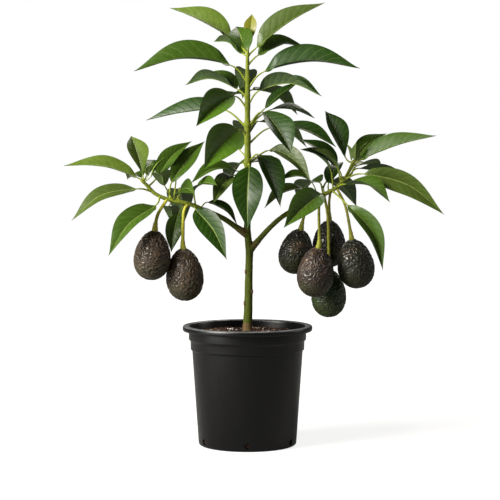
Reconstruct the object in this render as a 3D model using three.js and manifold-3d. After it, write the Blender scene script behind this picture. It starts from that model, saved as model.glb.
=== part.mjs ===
// A young avocado tree in a black nursery pot, with seven ripe fruit on it.
// Millimetres, +Z up, -Y to the front. The origin is the middle of the pot's flat underside.

import * as THREE from 'three';
import { mergeVertices } from 'three/addons/utils/BufferGeometryUtils.js';
import Module from 'manifold-3d';

const wasm = await Module();
wasm.setup();

// ---------------------------------------------------------------------------
// Driving dimensions
// ---------------------------------------------------------------------------

const GAP = 0.3; // clear space between pieces that meet
const UP = new THREE.Vector3(0, 0, 1);

const POT = {
  height: 216,
  rimRadius: 117,
  lipHeight: 9.5,
  bandRadius: 106, // the wide band under the rim
  bandFoot: 189,
  beadRadius: 102.6, // the narrower band below it
  beadFoot: 171,
  shoulderRadius: 100, // the body just under both bands
  footRadius: 88.5,
  step: 1.6, // height of each sloping step between bands
  round: 4.5, // foot corner
  rimRound: 2.2,
  wall: 2.2,
  floor: 2.4,
  sides: 40,
};

const DRAIN = { count: 6, radius: 5.5, height: 11, sides: 10, depth: 14 };

const MIX = { crown: 206, edge: 201, crownRadius: 16 };

// The trunk and leader as [height, sideways lean, radius], from the ground cut to the tip.
const TRUNK_COURSE = [
  [MIX.crown + GAP, 0, 9.8],
  [212, 0, 8.9],
  [235, 0.9, 8.1],
  [266, 1.8, 7.5],
  [297, 2.3, 7.0],
  [328, 3.0, 6.7],
  [347, 3.4, 6.9],
  [362, 2.2, 6.6],
  [378, 0.8, 6.3],
  [392, -0.2, 5.9],
  [430, 0.2, 5.8],
  [520, 0.2, 5.6],
  [600, 0.1, 4.8],
  [650, 0, 4.1],
  [672, 0, 3.8],
];
const TRUNK_SIDES = 12;

// Each limb as [x, y, z, radius]. A bough runs from the trunk to its share of the course,
// and the stem of its mass of leaves carries on from there to the end.
const LEFT_LIMB = {
  course: [
    [0, 0, 379, 7.2],
    [-21, -6, 394, 5.2],
    [-42, -14, 409, 4.6],
    [-64, -22, 420, 4.2],
    [-84, -28, 428, 4.1],
    [-107, -31, 437, 3.9],
    [-138, -33, 443, 3.7],
    [-165, -35, 455, 3.2],
    [-184, -36, 474, 2.6],
  ],
  boughShare: 0.44,
};
const RIGHT_LIMB = {
  course: [
    [4, 0, 352, 7.6],
    [14, 0, 363, 5.6],
    [37, -1, 389, 4.6],
    [60, -2, 410, 4.4],
    [88, -3, 428, 4.2],
    [116, -4, 443, 4.1],
    [135, -6, 451, 3.9],
    [157, -8, 463, 3.7],
    [175, -9, 482, 3.2],
    [188, -9, 508, 2.6],
  ],
  boughShare: 0.55,
};
// The green shoot that carries the top leaves on from the trunk's tip, ending in a pointed bud.
const TOP_LIMB = {
  course: [
    [0, 0, 672 + GAP, 3.8],
    [0, 0, 690, 3.4],
    [0.5, -0.5, 702, 2.8],
    [1, -1, 708, 2.2],
    [1.6, -1.4, 715, 0.6],
  ],
};
const LIMB_SIDES = 8;
const STEPS_PER_POINT = 2;

const LEAF = {
  stalkRadius: 1.7,
  stalkStops: [0, 0.5, 1],
  bladeStops: [0.05, 0.17, 0.33, 0.5, 0.67, 0.83, 0.95],
  foldEases: 0.15, // share of the blade over which it opens into its fold
  topRise: 0.35, // share of the thickness that lies above the midrib line
  thickness: 2.2,
  tipThickness: 0.6, // of the full thickness
};

// The swollen leaf node on the leader: how far it stands out, where its middle runs, and its half width.
const NODE_PAD = { thickness: 1.6, reach: 5.5, halfWidth: 2.3, spare: 2 };

const FRUIT = {
  sides: 14,
  rings: 9,
  taper: 0.16, // how much narrower the stalk end is
  stalkRadius: 2.2,
  collarRadius: 4.6,
  collarLength: 13,
  stalkSides: 6,
  sunk: 4,
};

// Side shoots grow at the back of the crown by the seeded rule.
const SHOOT = {
  radius: 2.6,
  sides: 6,
  stalk: 24,
  leafLength: 122,
  spread: 130,
  goldenTurn: 0.618,
};
const CROWN = { reach: 345, bottom: 300, top: 790 };
const LEAF_CLEARANCE = 9;
const LIMB_CLEARANCE = 7;

// ---------------------------------------------------------------------------
// The leaves that are set by hand
// ---------------------------------------------------------------------------

// at: height of the stalk's root on the leader, or its share along a limb; base and tip: the blade's
// two ends. arch: how far the blade's middle stands up from the straight line between them.
// roll, fold: degrees. wide: whole width as a share of the blade's length. belly: share of the length
// at which it is widest.
function leaf(at, base, tip, { arch = 10, roll = 0, fold = 22, wide = 0.42, belly = 0.4 } = {}) {
  const ends = { base: new THREE.Vector3(...base), tip: new THREE.Vector3(...tip) };
  return { at, ...ends, arch, roll, fold, wide, belly };
}

const TOP_LEAVES = [
  leaf(696, [-30, 45, 736], [-142, 72, 791], { arch: 5, roll: -34, fold: 32, wide: 0.46 }),
  leaf(694, [-6, 6, 703], [-20, 78, 758], { arch: 7, roll: -15, fold: 24, wide: 0.52 }),
  leaf(704, [4, 45, 724], [8, 62, 779], { arch: 3, fold: 20, wide: 0.44, belly: 0.56 }),
  leaf(690, [-10, 8, 705], [-62, 70, 730], { arch: 9, fold: 40, wide: 0.48 }),
  leaf(690, [17, 2, 715], [138, 10, 795], { arch: 6, roll: 35, fold: 33, wide: 0.42 }),
  leaf(678, [19, 4, 701], [106, 50, 718], { arch: 13, roll: 34, fold: 33 }),
];

const LEADER_LEAVES = {
  foliage_upper_left: [
    leaf(653, [-31, -4, 683], [-201, -30, 671], { arch: 17, roll: -34, fold: 34 }),
    leaf(625, [-19, 6, 641], [-115, 100, 652], { arch: 15, fold: 40, wide: 0.4, belly: 0.38 }),
  ],
  foliage_upper_right: [
    leaf(641, [31, -4, 672], [199, -30, 676], { arch: 15, roll: 34, fold: 34 }),
    leaf(611, [22, -8, 638], [129, -90, 625], { arch: 17, roll: -5, fold: 38 }),
  ],
  foliage_middle_left: [
    leaf(604, [-22, -12, 627], [-88, -130, 572], { arch: 8, roll: -40, fold: 40, wide: 0.44, belly: 0.52 }),
    leaf(571, [-43, 8, 604], [-185, 55, 586], { arch: 5, roll: -32, fold: 28, wide: 0.38 }),
  ],
  foliage_middle_right: [
    leaf(575, [31, 4, 606], [95, 30, 656], { arch: 3, roll: 24, fold: 18, wide: 0.34 }),
    leaf(573, [39, 8, 603], [123, 60, 590], { arch: 9, roll: 20, fold: 25, wide: 0.36, belly: 0.58 }),
    leaf(571, [25, -14, 599], [76, -95, 526], { arch: 8, roll: 14, fold: 36, wide: 0.5, belly: 0.54 }),
    leaf(541, [40, 5, 571], [158, -20, 537], { arch: 14, roll: 32, fold: 30, wide: 0.31, belly: 0.56 }),
  ],
  foliage_front: [
    leaf(550, [-14, -14, 568], [-75, -130, 498], { arch: 8, roll: -42, fold: 32, wide: 0.48, belly: 0.5 }),
    leaf(503, [3, -24, 503], [0, -62, 391], { arch: 15, fold: 15, wide: 0.48 }),
  ],
  foliage_lower_left: [
    leaf(518, [-14, 11, 532], [-26, 80, 549], { arch: 10, fold: 25, wide: 0.46 }),
    leaf(490, [-17, -8, 494], [-100, -60, 473], { arch: 15, roll: -30, fold: 28, wide: 0.36 }),
    leaf(484, [-26, -10, 486], [-61, -75, 436], { arch: 8, roll: -22, fold: 30, wide: 0.42 }),
  ],
  foliage_lower_right: [
    leaf(505, [39, 4, 531], [113, -45, 474], { arch: 14, roll: 42, fold: 38, wide: 0.38 }),
    leaf(509, [20, -12, 523], [58, -70, 432], { arch: 5, roll: 2, fold: 34, wide: 0.5 }),
  ],
};

const LEFT_LEAVES = [
  leaf(0.5, [-70, -36, 439], [-18, -34, 399], { arch: 9, roll: 35, fold: 24, wide: 0.38 }),
  leaf(0.52, [-92, -40, 427], [-36, -90, 340], { arch: 9, roll: 54, fold: 30, wide: 0.42 }),
  leaf(0.55, [-94, -30, 461], [-52, -95, 470], { arch: 8, roll: 34, fold: 24 }),
  leaf(0.63, [-124, 10, 417], [-137, -8, 348], { arch: 5, roll: -40, fold: 28, wide: 0.5 }),
  leaf(0.68, [-123, -40, 453], [-91, -115, 456], { arch: 10, roll: 50, fold: 22, wide: 0.46 }),
  leaf(0.72, [-128, 5, 480], [-111, 60, 530], { arch: 8, roll: 10 }),
  leaf(0.75, [-135, -28, 474], [-78, 50, 548], { arch: 3, roll: 30, fold: 30, wide: 0.34 }),
  leaf(0.72, [-140, -14, 432], [-136, 46, 392], { arch: 10, fold: 20 }),
  leaf(0.72, [-146, -55, 469], [-153, -130, 491], { arch: 8, roll: 10, fold: 24, wide: 0.46 }),
  leaf(0.83, [-162, -52, 434], [-241, -110, 348], { arch: 13, roll: -28, fold: 26, wide: 0.38 }),
  leaf(0.9, [-196, -50, 463], [-306, -95, 409], { arch: 17, roll: -31, fold: 14, wide: 0.31 }),
  leaf(0.96, [-196, -36, 483], [-324, -50, 504], { arch: 11, roll: -34, fold: 30, wide: 0.33 }),
  leaf(0.95, [-162, -15, 482], [-101, 35, 548], { arch: 8, roll: 32, fold: 30, wide: 0.37 }),
  leaf(1, [-186, -30, 486], [-209, 5, 557], { arch: 3, roll: -7, fold: 24, wide: 0.54, belly: 0.6 }),
  leaf(1, [-176, -44, 486], [-166, -52, 508], { arch: 3, fold: 24, wide: 0.6 }),
  leaf(1, [-172, -30, 484], [-146, -25, 520], { arch: 2, fold: 30, wide: 0.3 }),
  leaf(1, [-180, -14, 488], [-170, 50, 514], { arch: 6, fold: 22 }),
  leaf(0.97, [-190, -20, 483], [-220, 55, 478], { arch: 8, fold: 24 }),
];

const RIGHT_LEAVES = [
  leaf(0.58, [100, -2, 462], [30, -22, 428], { arch: 12, roll: -26, fold: 24 }),
  leaf(0.62, [113, -14, 476], [57, -40, 479], { arch: 9, roll: -32, fold: 24, wide: 0.44 }),
  leaf(0.64, [132, -22, 454], [63, -95, 396], { arch: 4, roll: -39, fold: 32, wide: 0.5 }),
  leaf(0.72, [146, 8, 472], [176, 70, 510], { arch: 8, fold: 22 }),
  leaf(0.75, [178, -36, 434], [239, -64, 319], { arch: 16, roll: 54, fold: 45, wide: 0.33 }),
  leaf(0.76, [147, -24, 499], [93, -60, 533], { arch: 8, roll: -34, fold: 24, wide: 0.44 }),
  leaf(0.8, [174, -32, 471], [248, -95, 441], { arch: 14, roll: 12, fold: 30, wide: 0.44, belly: 0.46 }),
  leaf(0.84, [160, 10, 502], [94, 45, 552], { arch: 8, roll: -26, fold: 24 }),
  leaf(0.86, [163, -26, 497], [117, -55, 533], { arch: 5, roll: -34, fold: 24, wide: 0.55 }),
  leaf(0.88, [208, -24, 489], [346, -70, 418], { arch: 18, roll: 84, fold: 42, wide: 0.33 }),
  leaf(0.93, [203, -10, 514], [334, -40, 557], { arch: 5, roll: 34, fold: 30, wide: 0.38 }),
  leaf(1, [176, 2, 518], [140, 24, 602], { arch: 3, roll: -30, fold: 34, wide: 0.52, belly: 0.56 }),
  leaf(1, [194, 8, 512], [254, 60, 562], { arch: 8, roll: 28, fold: 24 }),
  leaf(1, [186, -10, 514], [177, -16, 543], { arch: 2, fold: 24, wide: 0.5 }),
  leaf(1, [192, -12, 514], [193, -32, 546], { arch: 2, fold: 24, wide: 0.42 }),
  leaf(1, [197, -10, 514], [212, -16, 545], { arch: 2, fold: 28, wide: 0.34 }),
];

// Side shoots behind the crown. from: height on the leader, or share along a limb; bearing counts
// from +X towards +Y, the back.
const LEADER_SHOOTS = {
  foliage_back_top: [{ from: 655, bearing: 84, rise: 40, length: 24, leaves: 4, seed: 5 }],
  foliage_back_upper: [{ from: 612, bearing: 100, rise: 36, length: 26, leaves: 5, seed: 11 }],
  foliage_back_middle: [{ from: 556, bearing: 84, rise: 30, length: 28, leaves: 5, seed: 23 }],
  foliage_back_lower: [{ from: 488, bearing: 98, rise: 26, length: 30, leaves: 5, seed: 37 }],
};
const LEFT_SHOOTS = [
  { from: 0.7, bearing: 78, rise: 30, length: 34, leaves: 4, seed: 41 },
  { from: 0.88, bearing: 118, rise: 26, length: 34, leaves: 4, seed: 53 },
];
const RIGHT_SHOOTS = [
  { from: 0.68, bearing: 96, rise: 24, length: 34, leaves: 4, seed: 67 },
  { from: 0.86, bearing: 58, rise: 22, length: 34, leaves: 4, seed: 79 },
];

// Fruit: from is where the stalk hangs from the limb, knee is the point it bends through, centre is the
// middle of the body, and lean is how many degrees the stalk's end tips towards +X.
const FRUITS = [
  {
    limb: LEFT_LIMB,
    from: 0.77,
    knee: [-157, -46, 421],
    centre: [-168, -54, 346],
    length: 89,
    radius: 32.5,
    lean: 6,
  },
  {
    limb: LEFT_LIMB,
    from: 0.62,
    knee: [-113, -34, 420],
    centre: [-112, -30, 310],
    length: 95,
    radius: 33.5,
    lean: -3,
  },
  {
    limb: RIGHT_LIMB,
    from: 0.57,
    knee: [106, 6, 425],
    centre: [88, 10, 349],
    length: 83,
    radius: 30.5,
    lean: 12,
  },
  {
    limb: RIGHT_LIMB,
    from: 0.64,
    knee: [127, -34, 424],
    centre: [121, -50, 316],
    length: 90,
    radius: 32.5,
    lean: 6,
  },
  {
    limb: RIGHT_LIMB,
    from: 0.735,
    knee: [148, 26, 438],
    centre: [149, 45, 361],
    length: 87,
    radius: 30.5,
    lean: 0,
  },
  {
    limb: RIGHT_LIMB,
    from: 0.79,
    knee: [175, -12, 432],
    centre: [193, -22, 329],
    length: 90,
    radius: 33,
    lean: -9,
  },
  {
    limb: RIGHT_LIMB,
    from: 0.68,
    knee: [145, 6, 405],
    centre: [147, 13, 273],
    length: 88,
    radius: 31.5,
    lean: 0,
  },
];

// ---------------------------------------------------------------------------
// Finishes
// ---------------------------------------------------------------------------

const finish = (color, roughness) => new THREE.MeshStandardMaterial({ color, roughness, metalness: 0 });
const PLASTIC = finish(0x1b1c1d, 0.42);
const BARK_MIX = finish(0x3a291f, 0.95);
const TRUNK_BARK = finish(0x6d7a34, 0.7);
const FOLIAGE = finish(0x3c6a2a, 0.5);
const FRUIT_SKIN = finish(0x352b28, 0.6);

// ---------------------------------------------------------------------------
// Solids
// ---------------------------------------------------------------------------

function solidOf(geometry) {
  const bare = geometry.clone();
  for (const name of ['normal', 'uv']) bare.deleteAttribute(name);
  const merged = mergeVertices(bare, 1e-3);
  const corners = merged.index.array;
  const faces = [];
  for (let i = 0; i < corners.length; i += 3) {
    const [a, b, c] = corners.slice(i, i + 3);
    if (a !== b && b !== c && c !== a) faces.push(a, b, c);
  }
  return new wasm.Manifold(
    new wasm.Mesh({
      numProp: 3,
      vertProperties: new Float32Array(merged.attributes.position.array),
      triVerts: new Uint32Array(faces),
    }),
  );
}

function geometryOf(solid) {
  const mesh = solid.getMesh();
  const geometry = new THREE.BufferGeometry();
  geometry.setAttribute('position', new THREE.BufferAttribute(new Float32Array(mesh.vertProperties), 3));
  geometry.setIndex(new THREE.BufferAttribute(new Uint32Array(mesh.triVerts), 1));
  geometry.computeVertexNormals();
  return geometry;
}

const joined = (solids) => solids.reduce((whole, piece) => whole.add(piece));

// A closed skin over a row of rings that run along a limb, each ring turning the same way.
// A ring of one point closes that end to a tip.
function skinOver(rings) {
  const position = rings.flat().flatMap((p) => [p.x, p.y, p.z]);
  const starts = [];
  let count = 0;
  for (const ring of rings) {
    starts.push(count);
    count += ring.length;
  }
  const index = [];
  for (let i = 0; i + 1 < rings.length; i++) {
    const sides = Math.max(rings[i].length, rings[i + 1].length);
    const here = (j) => starts[i] + (j % rings[i].length);
    const next = (j) => starts[i + 1] + (j % rings[i + 1].length);
    for (let j = 0; j < sides; j++) {
      if (rings[i].length > 1) index.push(here(j), here(j + 1), next(j + 1));
      if (rings[i + 1].length > 1) index.push(here(j), next(j + 1), next(j));
    }
  }
  const last = rings.length - 1;
  for (let j = 1; j + 1 < rings[0].length; j++) index.push(starts[0], starts[0] + j + 1, starts[0] + j);
  for (let j = 1; j + 1 < rings[last].length; j++) {
    index.push(starts[last], starts[last] + j, starts[last] + j + 1);
  }
  const geometry = new THREE.BufferGeometry();
  geometry.setAttribute('position', new THREE.Float32BufferAttribute(position, 3));
  geometry.setIndex(index);
  return geometry;
}

const smoothCourse = (points) => new THREE.CatmullRomCurve3(points, false, 'catmullrom', 0.5);

// Straight-line value of a row of numbers at a share of its length.
function valueAlong(values, share) {
  const place = share * (values.length - 1);
  const i = Math.min(Math.floor(place), values.length - 2);
  return THREE.MathUtils.lerp(values[i], values[i + 1], place - i);
}

// A tapering round limb between two shares of its course, fattened by grow.
function limbSolid({ curve, radii }, { from = 0, to = 1, grow = 0, sides = LIMB_SIDES } = {}) {
  const steps = Math.max(2, Math.round((to - from) * (radii.length - 1) * STEPS_PER_POINT));
  const run = curve.getPoint(1).sub(curve.getPoint(0)).normalize();
  const across = Math.abs(run.y) > 0.7 ? new THREE.Vector3(1, 0, 0) : new THREE.Vector3(0, 1, 0);
  const rings = [];
  for (let i = 0; i <= steps; i++) {
    const share = from + ((to - from) * i) / steps;
    const centre = curve.getPoint(share);
    const along = curve.getTangent(share);
    const side = across.clone().cross(along).normalize();
    const top = along.clone().cross(side);
    const radius = valueAlong(radii, share) + grow;
    const ring = [];
    for (let j = 0; j < sides; j++) {
      const turn = (2 * Math.PI * j) / sides;
      ring.push(
        centre
          .clone()
          .addScaledVector(side, radius * Math.cos(turn))
          .addScaledVector(top, radius * Math.sin(turn)),
      );
    }
    rings.push(ring);
  }
  return solidOf(skinOver(rings));
}

const limbOf = (course) => ({
  curve: smoothCourse(course.map(([x, y, z]) => new THREE.Vector3(x, y, z))),
  radii: course.map((point) => point[3]),
});

// ---------------------------------------------------------------------------
// Pot and potting mix
// ---------------------------------------------------------------------------

function latheSolid(outline) {
  const profile = outline.map(([radius, height]) => new THREE.Vector2(radius, height));
  return solidOf(new THREE.LatheGeometry(profile, POT.sides).rotateX(Math.PI / 2));
}

// The pot's wall from the foot corner up to the wide band, moved inwards and up.
function wallLine(inward, lift) {
  const { footRadius, shoulderRadius, beadRadius, bandRadius, beadFoot, bandFoot, step, round } = POT;
  return [
    [footRadius - round - inward, lift],
    [footRadius - 0.3 * round - inward, 0.3 * round + lift],
    [footRadius - inward, round + lift],
    [shoulderRadius - inward, beadFoot + lift],
    [beadRadius - inward, beadFoot + step + lift],
    [beadRadius - inward, bandFoot + lift],
    [bandRadius - inward, bandFoot + step + lift],
  ];
}

function potSolid() {
  const { height, rimRadius, lipHeight, bandRadius, wall, floor, rimRound } = POT;
  const lipFoot = height - lipHeight;
  const outside = [[0, 0], ...wallLine(0, 0), [bandRadius, height - wall]];
  const rim = [
    [rimRadius - wall, height - wall],
    [rimRadius - wall, lipFoot],
    [rimRadius, lipFoot],
    [rimRadius, height - rimRound],
    [rimRadius - 0.3 * rimRound, height - 0.3 * rimRound],
    [rimRadius - rimRound, height],
    [bandRadius - wall + rimRound, height],
    [bandRadius - wall, height - rimRound],
  ];
  const inside = [...wallLine(wall, floor).reverse(), [0, floor]];
  const body = latheSolid([...outside, ...rim, ...inside]);
  const drains = [];
  for (let i = 0; i < DRAIN.count; i++) {
    const bore = new THREE.CylinderGeometry(DRAIN.radius, DRAIN.radius, DRAIN.depth, DRAIN.sides);
    bore.rotateZ(Math.PI / 2).translate(POT.footRadius, 0, DRAIN.height);
    drains.push(solidOf(bore.rotateZ((2 * Math.PI * (i + 0.5)) / DRAIN.count)));
  }
  return body.subtract(joined(drains));
}

function mixSolid() {
  const inward = POT.wall + GAP;
  const sides = wallLine(inward, POT.floor + GAP);
  return latheSolid([
    [0, POT.floor + GAP],
    ...sides,
    [POT.bandRadius - inward, MIX.edge],
    [POT.bandRadius - inward - 14, MIX.edge + 2],
    [MIX.crownRadius + 30, MIX.crown - 1.2],
    [MIX.crownRadius, MIX.crown],
    [0, MIX.crown],
  ]);
}

// ---------------------------------------------------------------------------
// Leaves
// ---------------------------------------------------------------------------

// Half the blade's width, as a share of its widest, from base (0) to tip (1).
function bladeWidth(share, belly) {
  return Math.sin(Math.PI * share ** (Math.log(0.5) / Math.log(belly))) ** 1.2;
}

// The midrib as a curve from the stalk's root to the tip, and the blade's level side direction.
function midribOf(root, { base, tip, arch }) {
  const chord = tip.clone().sub(base);
  const side = new THREE.Vector3(chord.y, -chord.x, 0).normalize();
  const upper = side.clone().cross(chord).normalize();
  const middle = base.clone().addScaledVector(chord, 0.5).addScaledVector(upper, arch);
  return { curve: smoothCourse([root, base, middle, tip]), side, length: chord.length() };
}

// The point, side direction and upper direction at a share of the midrib's curve.
function frameAt({ curve, side }, share, roll) {
  const along = curve.getTangent(share);
  const level = side.clone().addScaledVector(along, -side.dot(along)).normalize();
  const upper = level.clone().cross(along);
  const turn = THREE.MathUtils.degToRad(roll);
  return {
    point: curve.getPoint(share),
    side: level.clone().multiplyScalar(Math.cos(turn)).addScaledVector(upper, -Math.sin(turn)),
    upper: upper.clone().multiplyScalar(Math.cos(turn)).addScaledVector(level, Math.sin(turn)),
  };
}

function leafRing(frame, halfWidth, fold, rise, depth) {
  const place = (across, up) =>
    frame.point.clone().addScaledVector(frame.side, across).addScaledVector(frame.upper, up);
  const [reach, lift] = [halfWidth * Math.cos(fold), halfWidth * Math.sin(fold)];
  return [place(0, rise), place(reach, lift), place(0, -depth), place(-reach, lift)];
}

const stalkShare = (share) => share / 3;
const bladeShare = (share) => (1 + 2 * share) / 3;

// One leaf, stalk and blade in one closed skin: a slim four-sided stalk that opens into a folded blade.
function leafSolid(root, plan) {
  const midrib = midribOf(root, plan);
  const widest = (midrib.length * plan.wide) / 2;
  const radius = LEAF.stalkRadius;
  const rings = LEAF.stalkStops.map((share) =>
    leafRing(frameAt(midrib, stalkShare(share), plan.roll), radius, 0, radius, radius),
  );
  for (const share of LEAF.bladeStops) {
    const thickness = LEAF.thickness * THREE.MathUtils.lerp(1, LEAF.tipThickness, share);
    const fold = THREE.MathUtils.degToRad(plan.fold) * Math.min(1, share / LEAF.foldEases);
    const halfWidth = Math.max(radius, widest * bladeWidth(share, plan.belly));
    const rise = thickness * LEAF.topRise;
    rings.push(
      leafRing(frameAt(midrib, bladeShare(share), plan.roll), halfWidth, fold, rise, thickness - rise),
    );
  }
  rings.push([plan.tip]);
  return solidOf(skinOver(rings));
}

// Points spread over a blade, for the clearance rule.
function bladePoints(root, plan) {
  const midrib = midribOf(root, plan);
  const widest = (midrib.length * plan.wide) / 2;
  const fold = THREE.MathUtils.degToRad(plan.fold);
  const points = [];
  for (let i = 0; i <= 12; i++) {
    const share = i / 12;
    const frame = frameAt(midrib, bladeShare(share), plan.roll);
    for (const across of [-1, -0.5, 0, 0.5, 1]) {
      const out = across * widest * bladeWidth(share, plan.belly);
      points.push(
        frame.point
          .clone()
          .addScaledVector(frame.side, out * Math.cos(fold))
          .addScaledVector(frame.upper, Math.abs(out) * Math.sin(fold)),
      );
    }
  }
  return points;
}

// ---------------------------------------------------------------------------
// Side shoots, by the seeded rule
// ---------------------------------------------------------------------------

function seeded(seed) {
  let state = seed;
  return () => {
    state = (state * 1664525 + 1013904223) % 4294967296;
    return state / 4294967296;
  };
}

function heading(bearing, rise) {
  const [turn, lift] = [THREE.MathUtils.degToRad(bearing), THREE.MathUtils.degToRad(rise)];
  return new THREE.Vector3(
    Math.cos(turn) * Math.cos(lift),
    Math.sin(turn) * Math.cos(lift),
    Math.sin(lift),
  );
}

// A short shoot from its foot on a limb, with leaves set round its outer half.
function growShoot(foot, shoot) {
  const random = seeded(shoot.seed);
  const run = heading(shoot.bearing, shoot.rise).multiplyScalar(shoot.length);
  const leaves = [];
  for (let i = 0; i < shoot.leaves; i++) {
    const root = foot.clone().addScaledVector(run, 0.4 + (0.6 * (i + 1)) / shoot.leaves);
    const swing = SHOOT.spread * (((i + 1) * SHOOT.goldenTurn) % 1) - SHOOT.spread / 2;
    const bearing = shoot.bearing + swing + 16 * (random() - 0.5);
    const droop = -8 - 26 * random();
    const length = SHOOT.leafLength * (0.82 + 0.3 * random());
    const base = root.clone().addScaledVector(heading(bearing, 34), SHOOT.stalk);
    const tip = base.clone().addScaledVector(heading(bearing, droop), length);
    const roll = 30 * (random() - 0.5);
    leaves.push({ root, base, tip, arch: 0.11 * length, roll, fold: 24, wide: 0.42, belly: 0.4 });
  }
  return { foot, end: foot.clone().add(run), leaves };
}

const kept = []; // points of every blade so far
const bones = []; // [point, radius] along the trunk and limbs

const inCrown = (point) =>
  Math.hypot(point.x, point.y) < CROWN.reach && point.z > CROWN.bottom && point.z < CROWN.top;

// A leaf of a shoot is skipped where it would leave the crown, or touch a limb or another blade.
function hasRoom(points) {
  if (!points.every(inCrown)) return false;
  if (bones.some(([bone, radius]) => points.some((p) => p.distanceTo(bone) < radius + LIMB_CLEARANCE))) {
    return false;
  }
  return !kept.some((other) => points.some((p) => p.distanceTo(other) < LEAF_CLEARANCE));
}

// ---------------------------------------------------------------------------
// Assembly
// ---------------------------------------------------------------------------

const tree = new THREE.Group();

function place(name, solid, material) {
  const mesh = new THREE.Mesh(geometryOf(solid), material);
  mesh.name = name;
  tree.add(mesh);
}

place('pot', potSolid(), PLASTIC);
place('potting_mix', mixSolid(), BARK_MIX);

const trunk = limbOf(TRUNK_COURSE.map(([height, lean, radius]) => [lean, 0, height, radius]));
const trunkSolid = (grow) => limbSolid(trunk, { grow, sides: TRUNK_SIDES });
const clearOfTrunk = trunkSolid(GAP);
place('trunk', trunkSolid(0), TRUNK_BARK);

// The middle of the trunk at a height.
function trunkAt(height) {
  const heights = TRUNK_COURSE.map((point) => point[0]);
  const i = Math.max(1, heights.findIndex((z) => z >= height));
  const share = (height - heights[i - 1]) / (heights[i] - heights[i - 1]);
  return new THREE.Vector3(
    THREE.MathUtils.lerp(TRUNK_COURSE[i - 1][1], TRUNK_COURSE[i][1], share),
    0,
    height,
  );
}

function recordBones({ curve, radii }) {
  const steps = (radii.length - 1) * 4;
  for (let i = 0; i <= steps; i++) bones.push([curve.getPoint(i / steps), valueAlong(radii, i / steps)]);
}

const limbs = new Map([LEFT_LIMB, RIGHT_LIMB, TOP_LIMB].map((plan) => [plan, limbOf(plan.course)]));
recordBones(trunk);
for (const limb of limbs.values()) recordBones(limb);

for (const [name, plan] of [['bough_left', LEFT_LIMB], ['bough_right', RIGHT_LIMB]]) {
  const bough = limbSolid(limbs.get(plan), { to: plan.boughShare });
  place(name, bough.subtract(clearOfTrunk), TRUNK_BARK);
}

// The leaves set by hand take their places first, so that the shoots grow round them.
const crownPlan = [];

function planMass(name, leaves, rootAt, stems, clear) {
  const rooted = leaves.map((plan) => ({ root: rootAt(plan.at), ...plan }));
  for (const plan of rooted) kept.push(...bladePoints(plan.root, plan));
  crownPlan.push({ name, leaves: rooted, shoots: [], stems, clear });
  return crownPlan.at(-1);
}

const topLimb = limbs.get(TOP_LIMB);
const topRootAt = (height) => {
  const { course } = TOP_LIMB;
  return topLimb.curve.getPoint((height - course[0][2]) / (course.at(-1)[2] - course[0][2]));
};
planMass('foliage_top', TOP_LEAVES, topRootAt, [limbSolid(topLimb)]);

// The swollen node that the stalks of one leader mass share: a patch of a sleeve round the leader.
function nodePad(leaves) {
  const { thickness, reach, halfWidth, spare } = NODE_PAD;
  const exits = leaves.map(({ root, base }) => {
    const out = base.clone().sub(root);
    return root.clone().addScaledVector(out, reach / Math.hypot(out.x, out.y));
  });
  exits.sort((a, b) => a.z - b.z);
  const patches = [];
  for (let i = 0; i + 1 < exits.length; i++) {
    const foot = exits[i].clone().addScaledVector(UP, -spare);
    const head = exits[i + 1].clone().addScaledVector(UP, spare);
    patches.push(limbSolid({ curve: smoothCourse([foot, head]), radii: [halfWidth, halfWidth] }));
  }
  return joined(patches).intersect(trunkSolid(GAP + thickness));
}

for (const [name, leaves] of Object.entries(LEADER_LEAVES)) {
  const mass = planMass(name, leaves, trunkAt, [], clearOfTrunk);
  mass.stems.push(nodePad(mass.leaves));
}

const limbRoot = (plan) => (share) => limbs.get(plan).curve.getPoint(share);
const massStem = (plan) => {
  const limb = limbs.get(plan);
  const from = plan.boughShare + GAP / limb.curve.getLength();
  return limbSolid(limb, { from });
};
const leftMass = planMass('foliage_left', LEFT_LEAVES, limbRoot(LEFT_LIMB), [massStem(LEFT_LIMB)]);
const rightMass = planMass('foliage_right', RIGHT_LEAVES, limbRoot(RIGHT_LIMB), [massStem(RIGHT_LIMB)]);

function addShoots(mass, shoots, footAt) {
  for (const shoot of shoots) {
    const grown = growShoot(footAt(shoot.from), shoot);
    const radii = [SHOOT.radius + 0.8, SHOOT.radius - 0.8];
    mass.stems.push(
      limbSolid({ curve: smoothCourse([grown.foot, grown.end]), radii }, { sides: SHOOT.sides }),
    );
    for (const plan of grown.leaves) {
      const points = bladePoints(plan.root, plan);
      if (!hasRoom(points)) continue;
      kept.push(...points);
      mass.leaves.push(plan);
    }
  }
}

for (const [name, shoots] of Object.entries(LEADER_SHOOTS)) {
  addShoots(planMass(name, [], trunkAt, [], clearOfTrunk), shoots, trunkAt);
}
addShoots(leftMass, LEFT_SHOOTS, limbRoot(LEFT_LIMB));
addShoots(rightMass, RIGHT_SHOOTS, limbRoot(RIGHT_LIMB));

for (const { name, leaves, stems, clear } of crownPlan) {
  const whole = joined([...stems, ...leaves.map((plan) => leafSolid(plan.root, plan))]);
  place(name, clear ? whole.subtract(clear) : whole, FOLIAGE);
}

// ---------------------------------------------------------------------------
// Fruit
// ---------------------------------------------------------------------------

function fruitBody({ centre, length, radius, lean }) {
  const profile = [];
  for (let i = 0; i <= FRUIT.rings; i++) {
    const turn = Math.PI * (i / FRUIT.rings);
    const height = -Math.cos(turn);
    profile.push(
      new THREE.Vector2(
        i % FRUIT.rings === 0 ? 0 : radius * Math.sin(turn) * (1 - FRUIT.taper * height),
        (height * length) / 2,
      ),
    );
  }
  const body = new THREE.LatheGeometry(profile, FRUIT.sides).rotateX(Math.PI / 2);
  return solidOf(body.rotateY(THREE.MathUtils.degToRad(lean)).translate(...centre));
}

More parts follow.
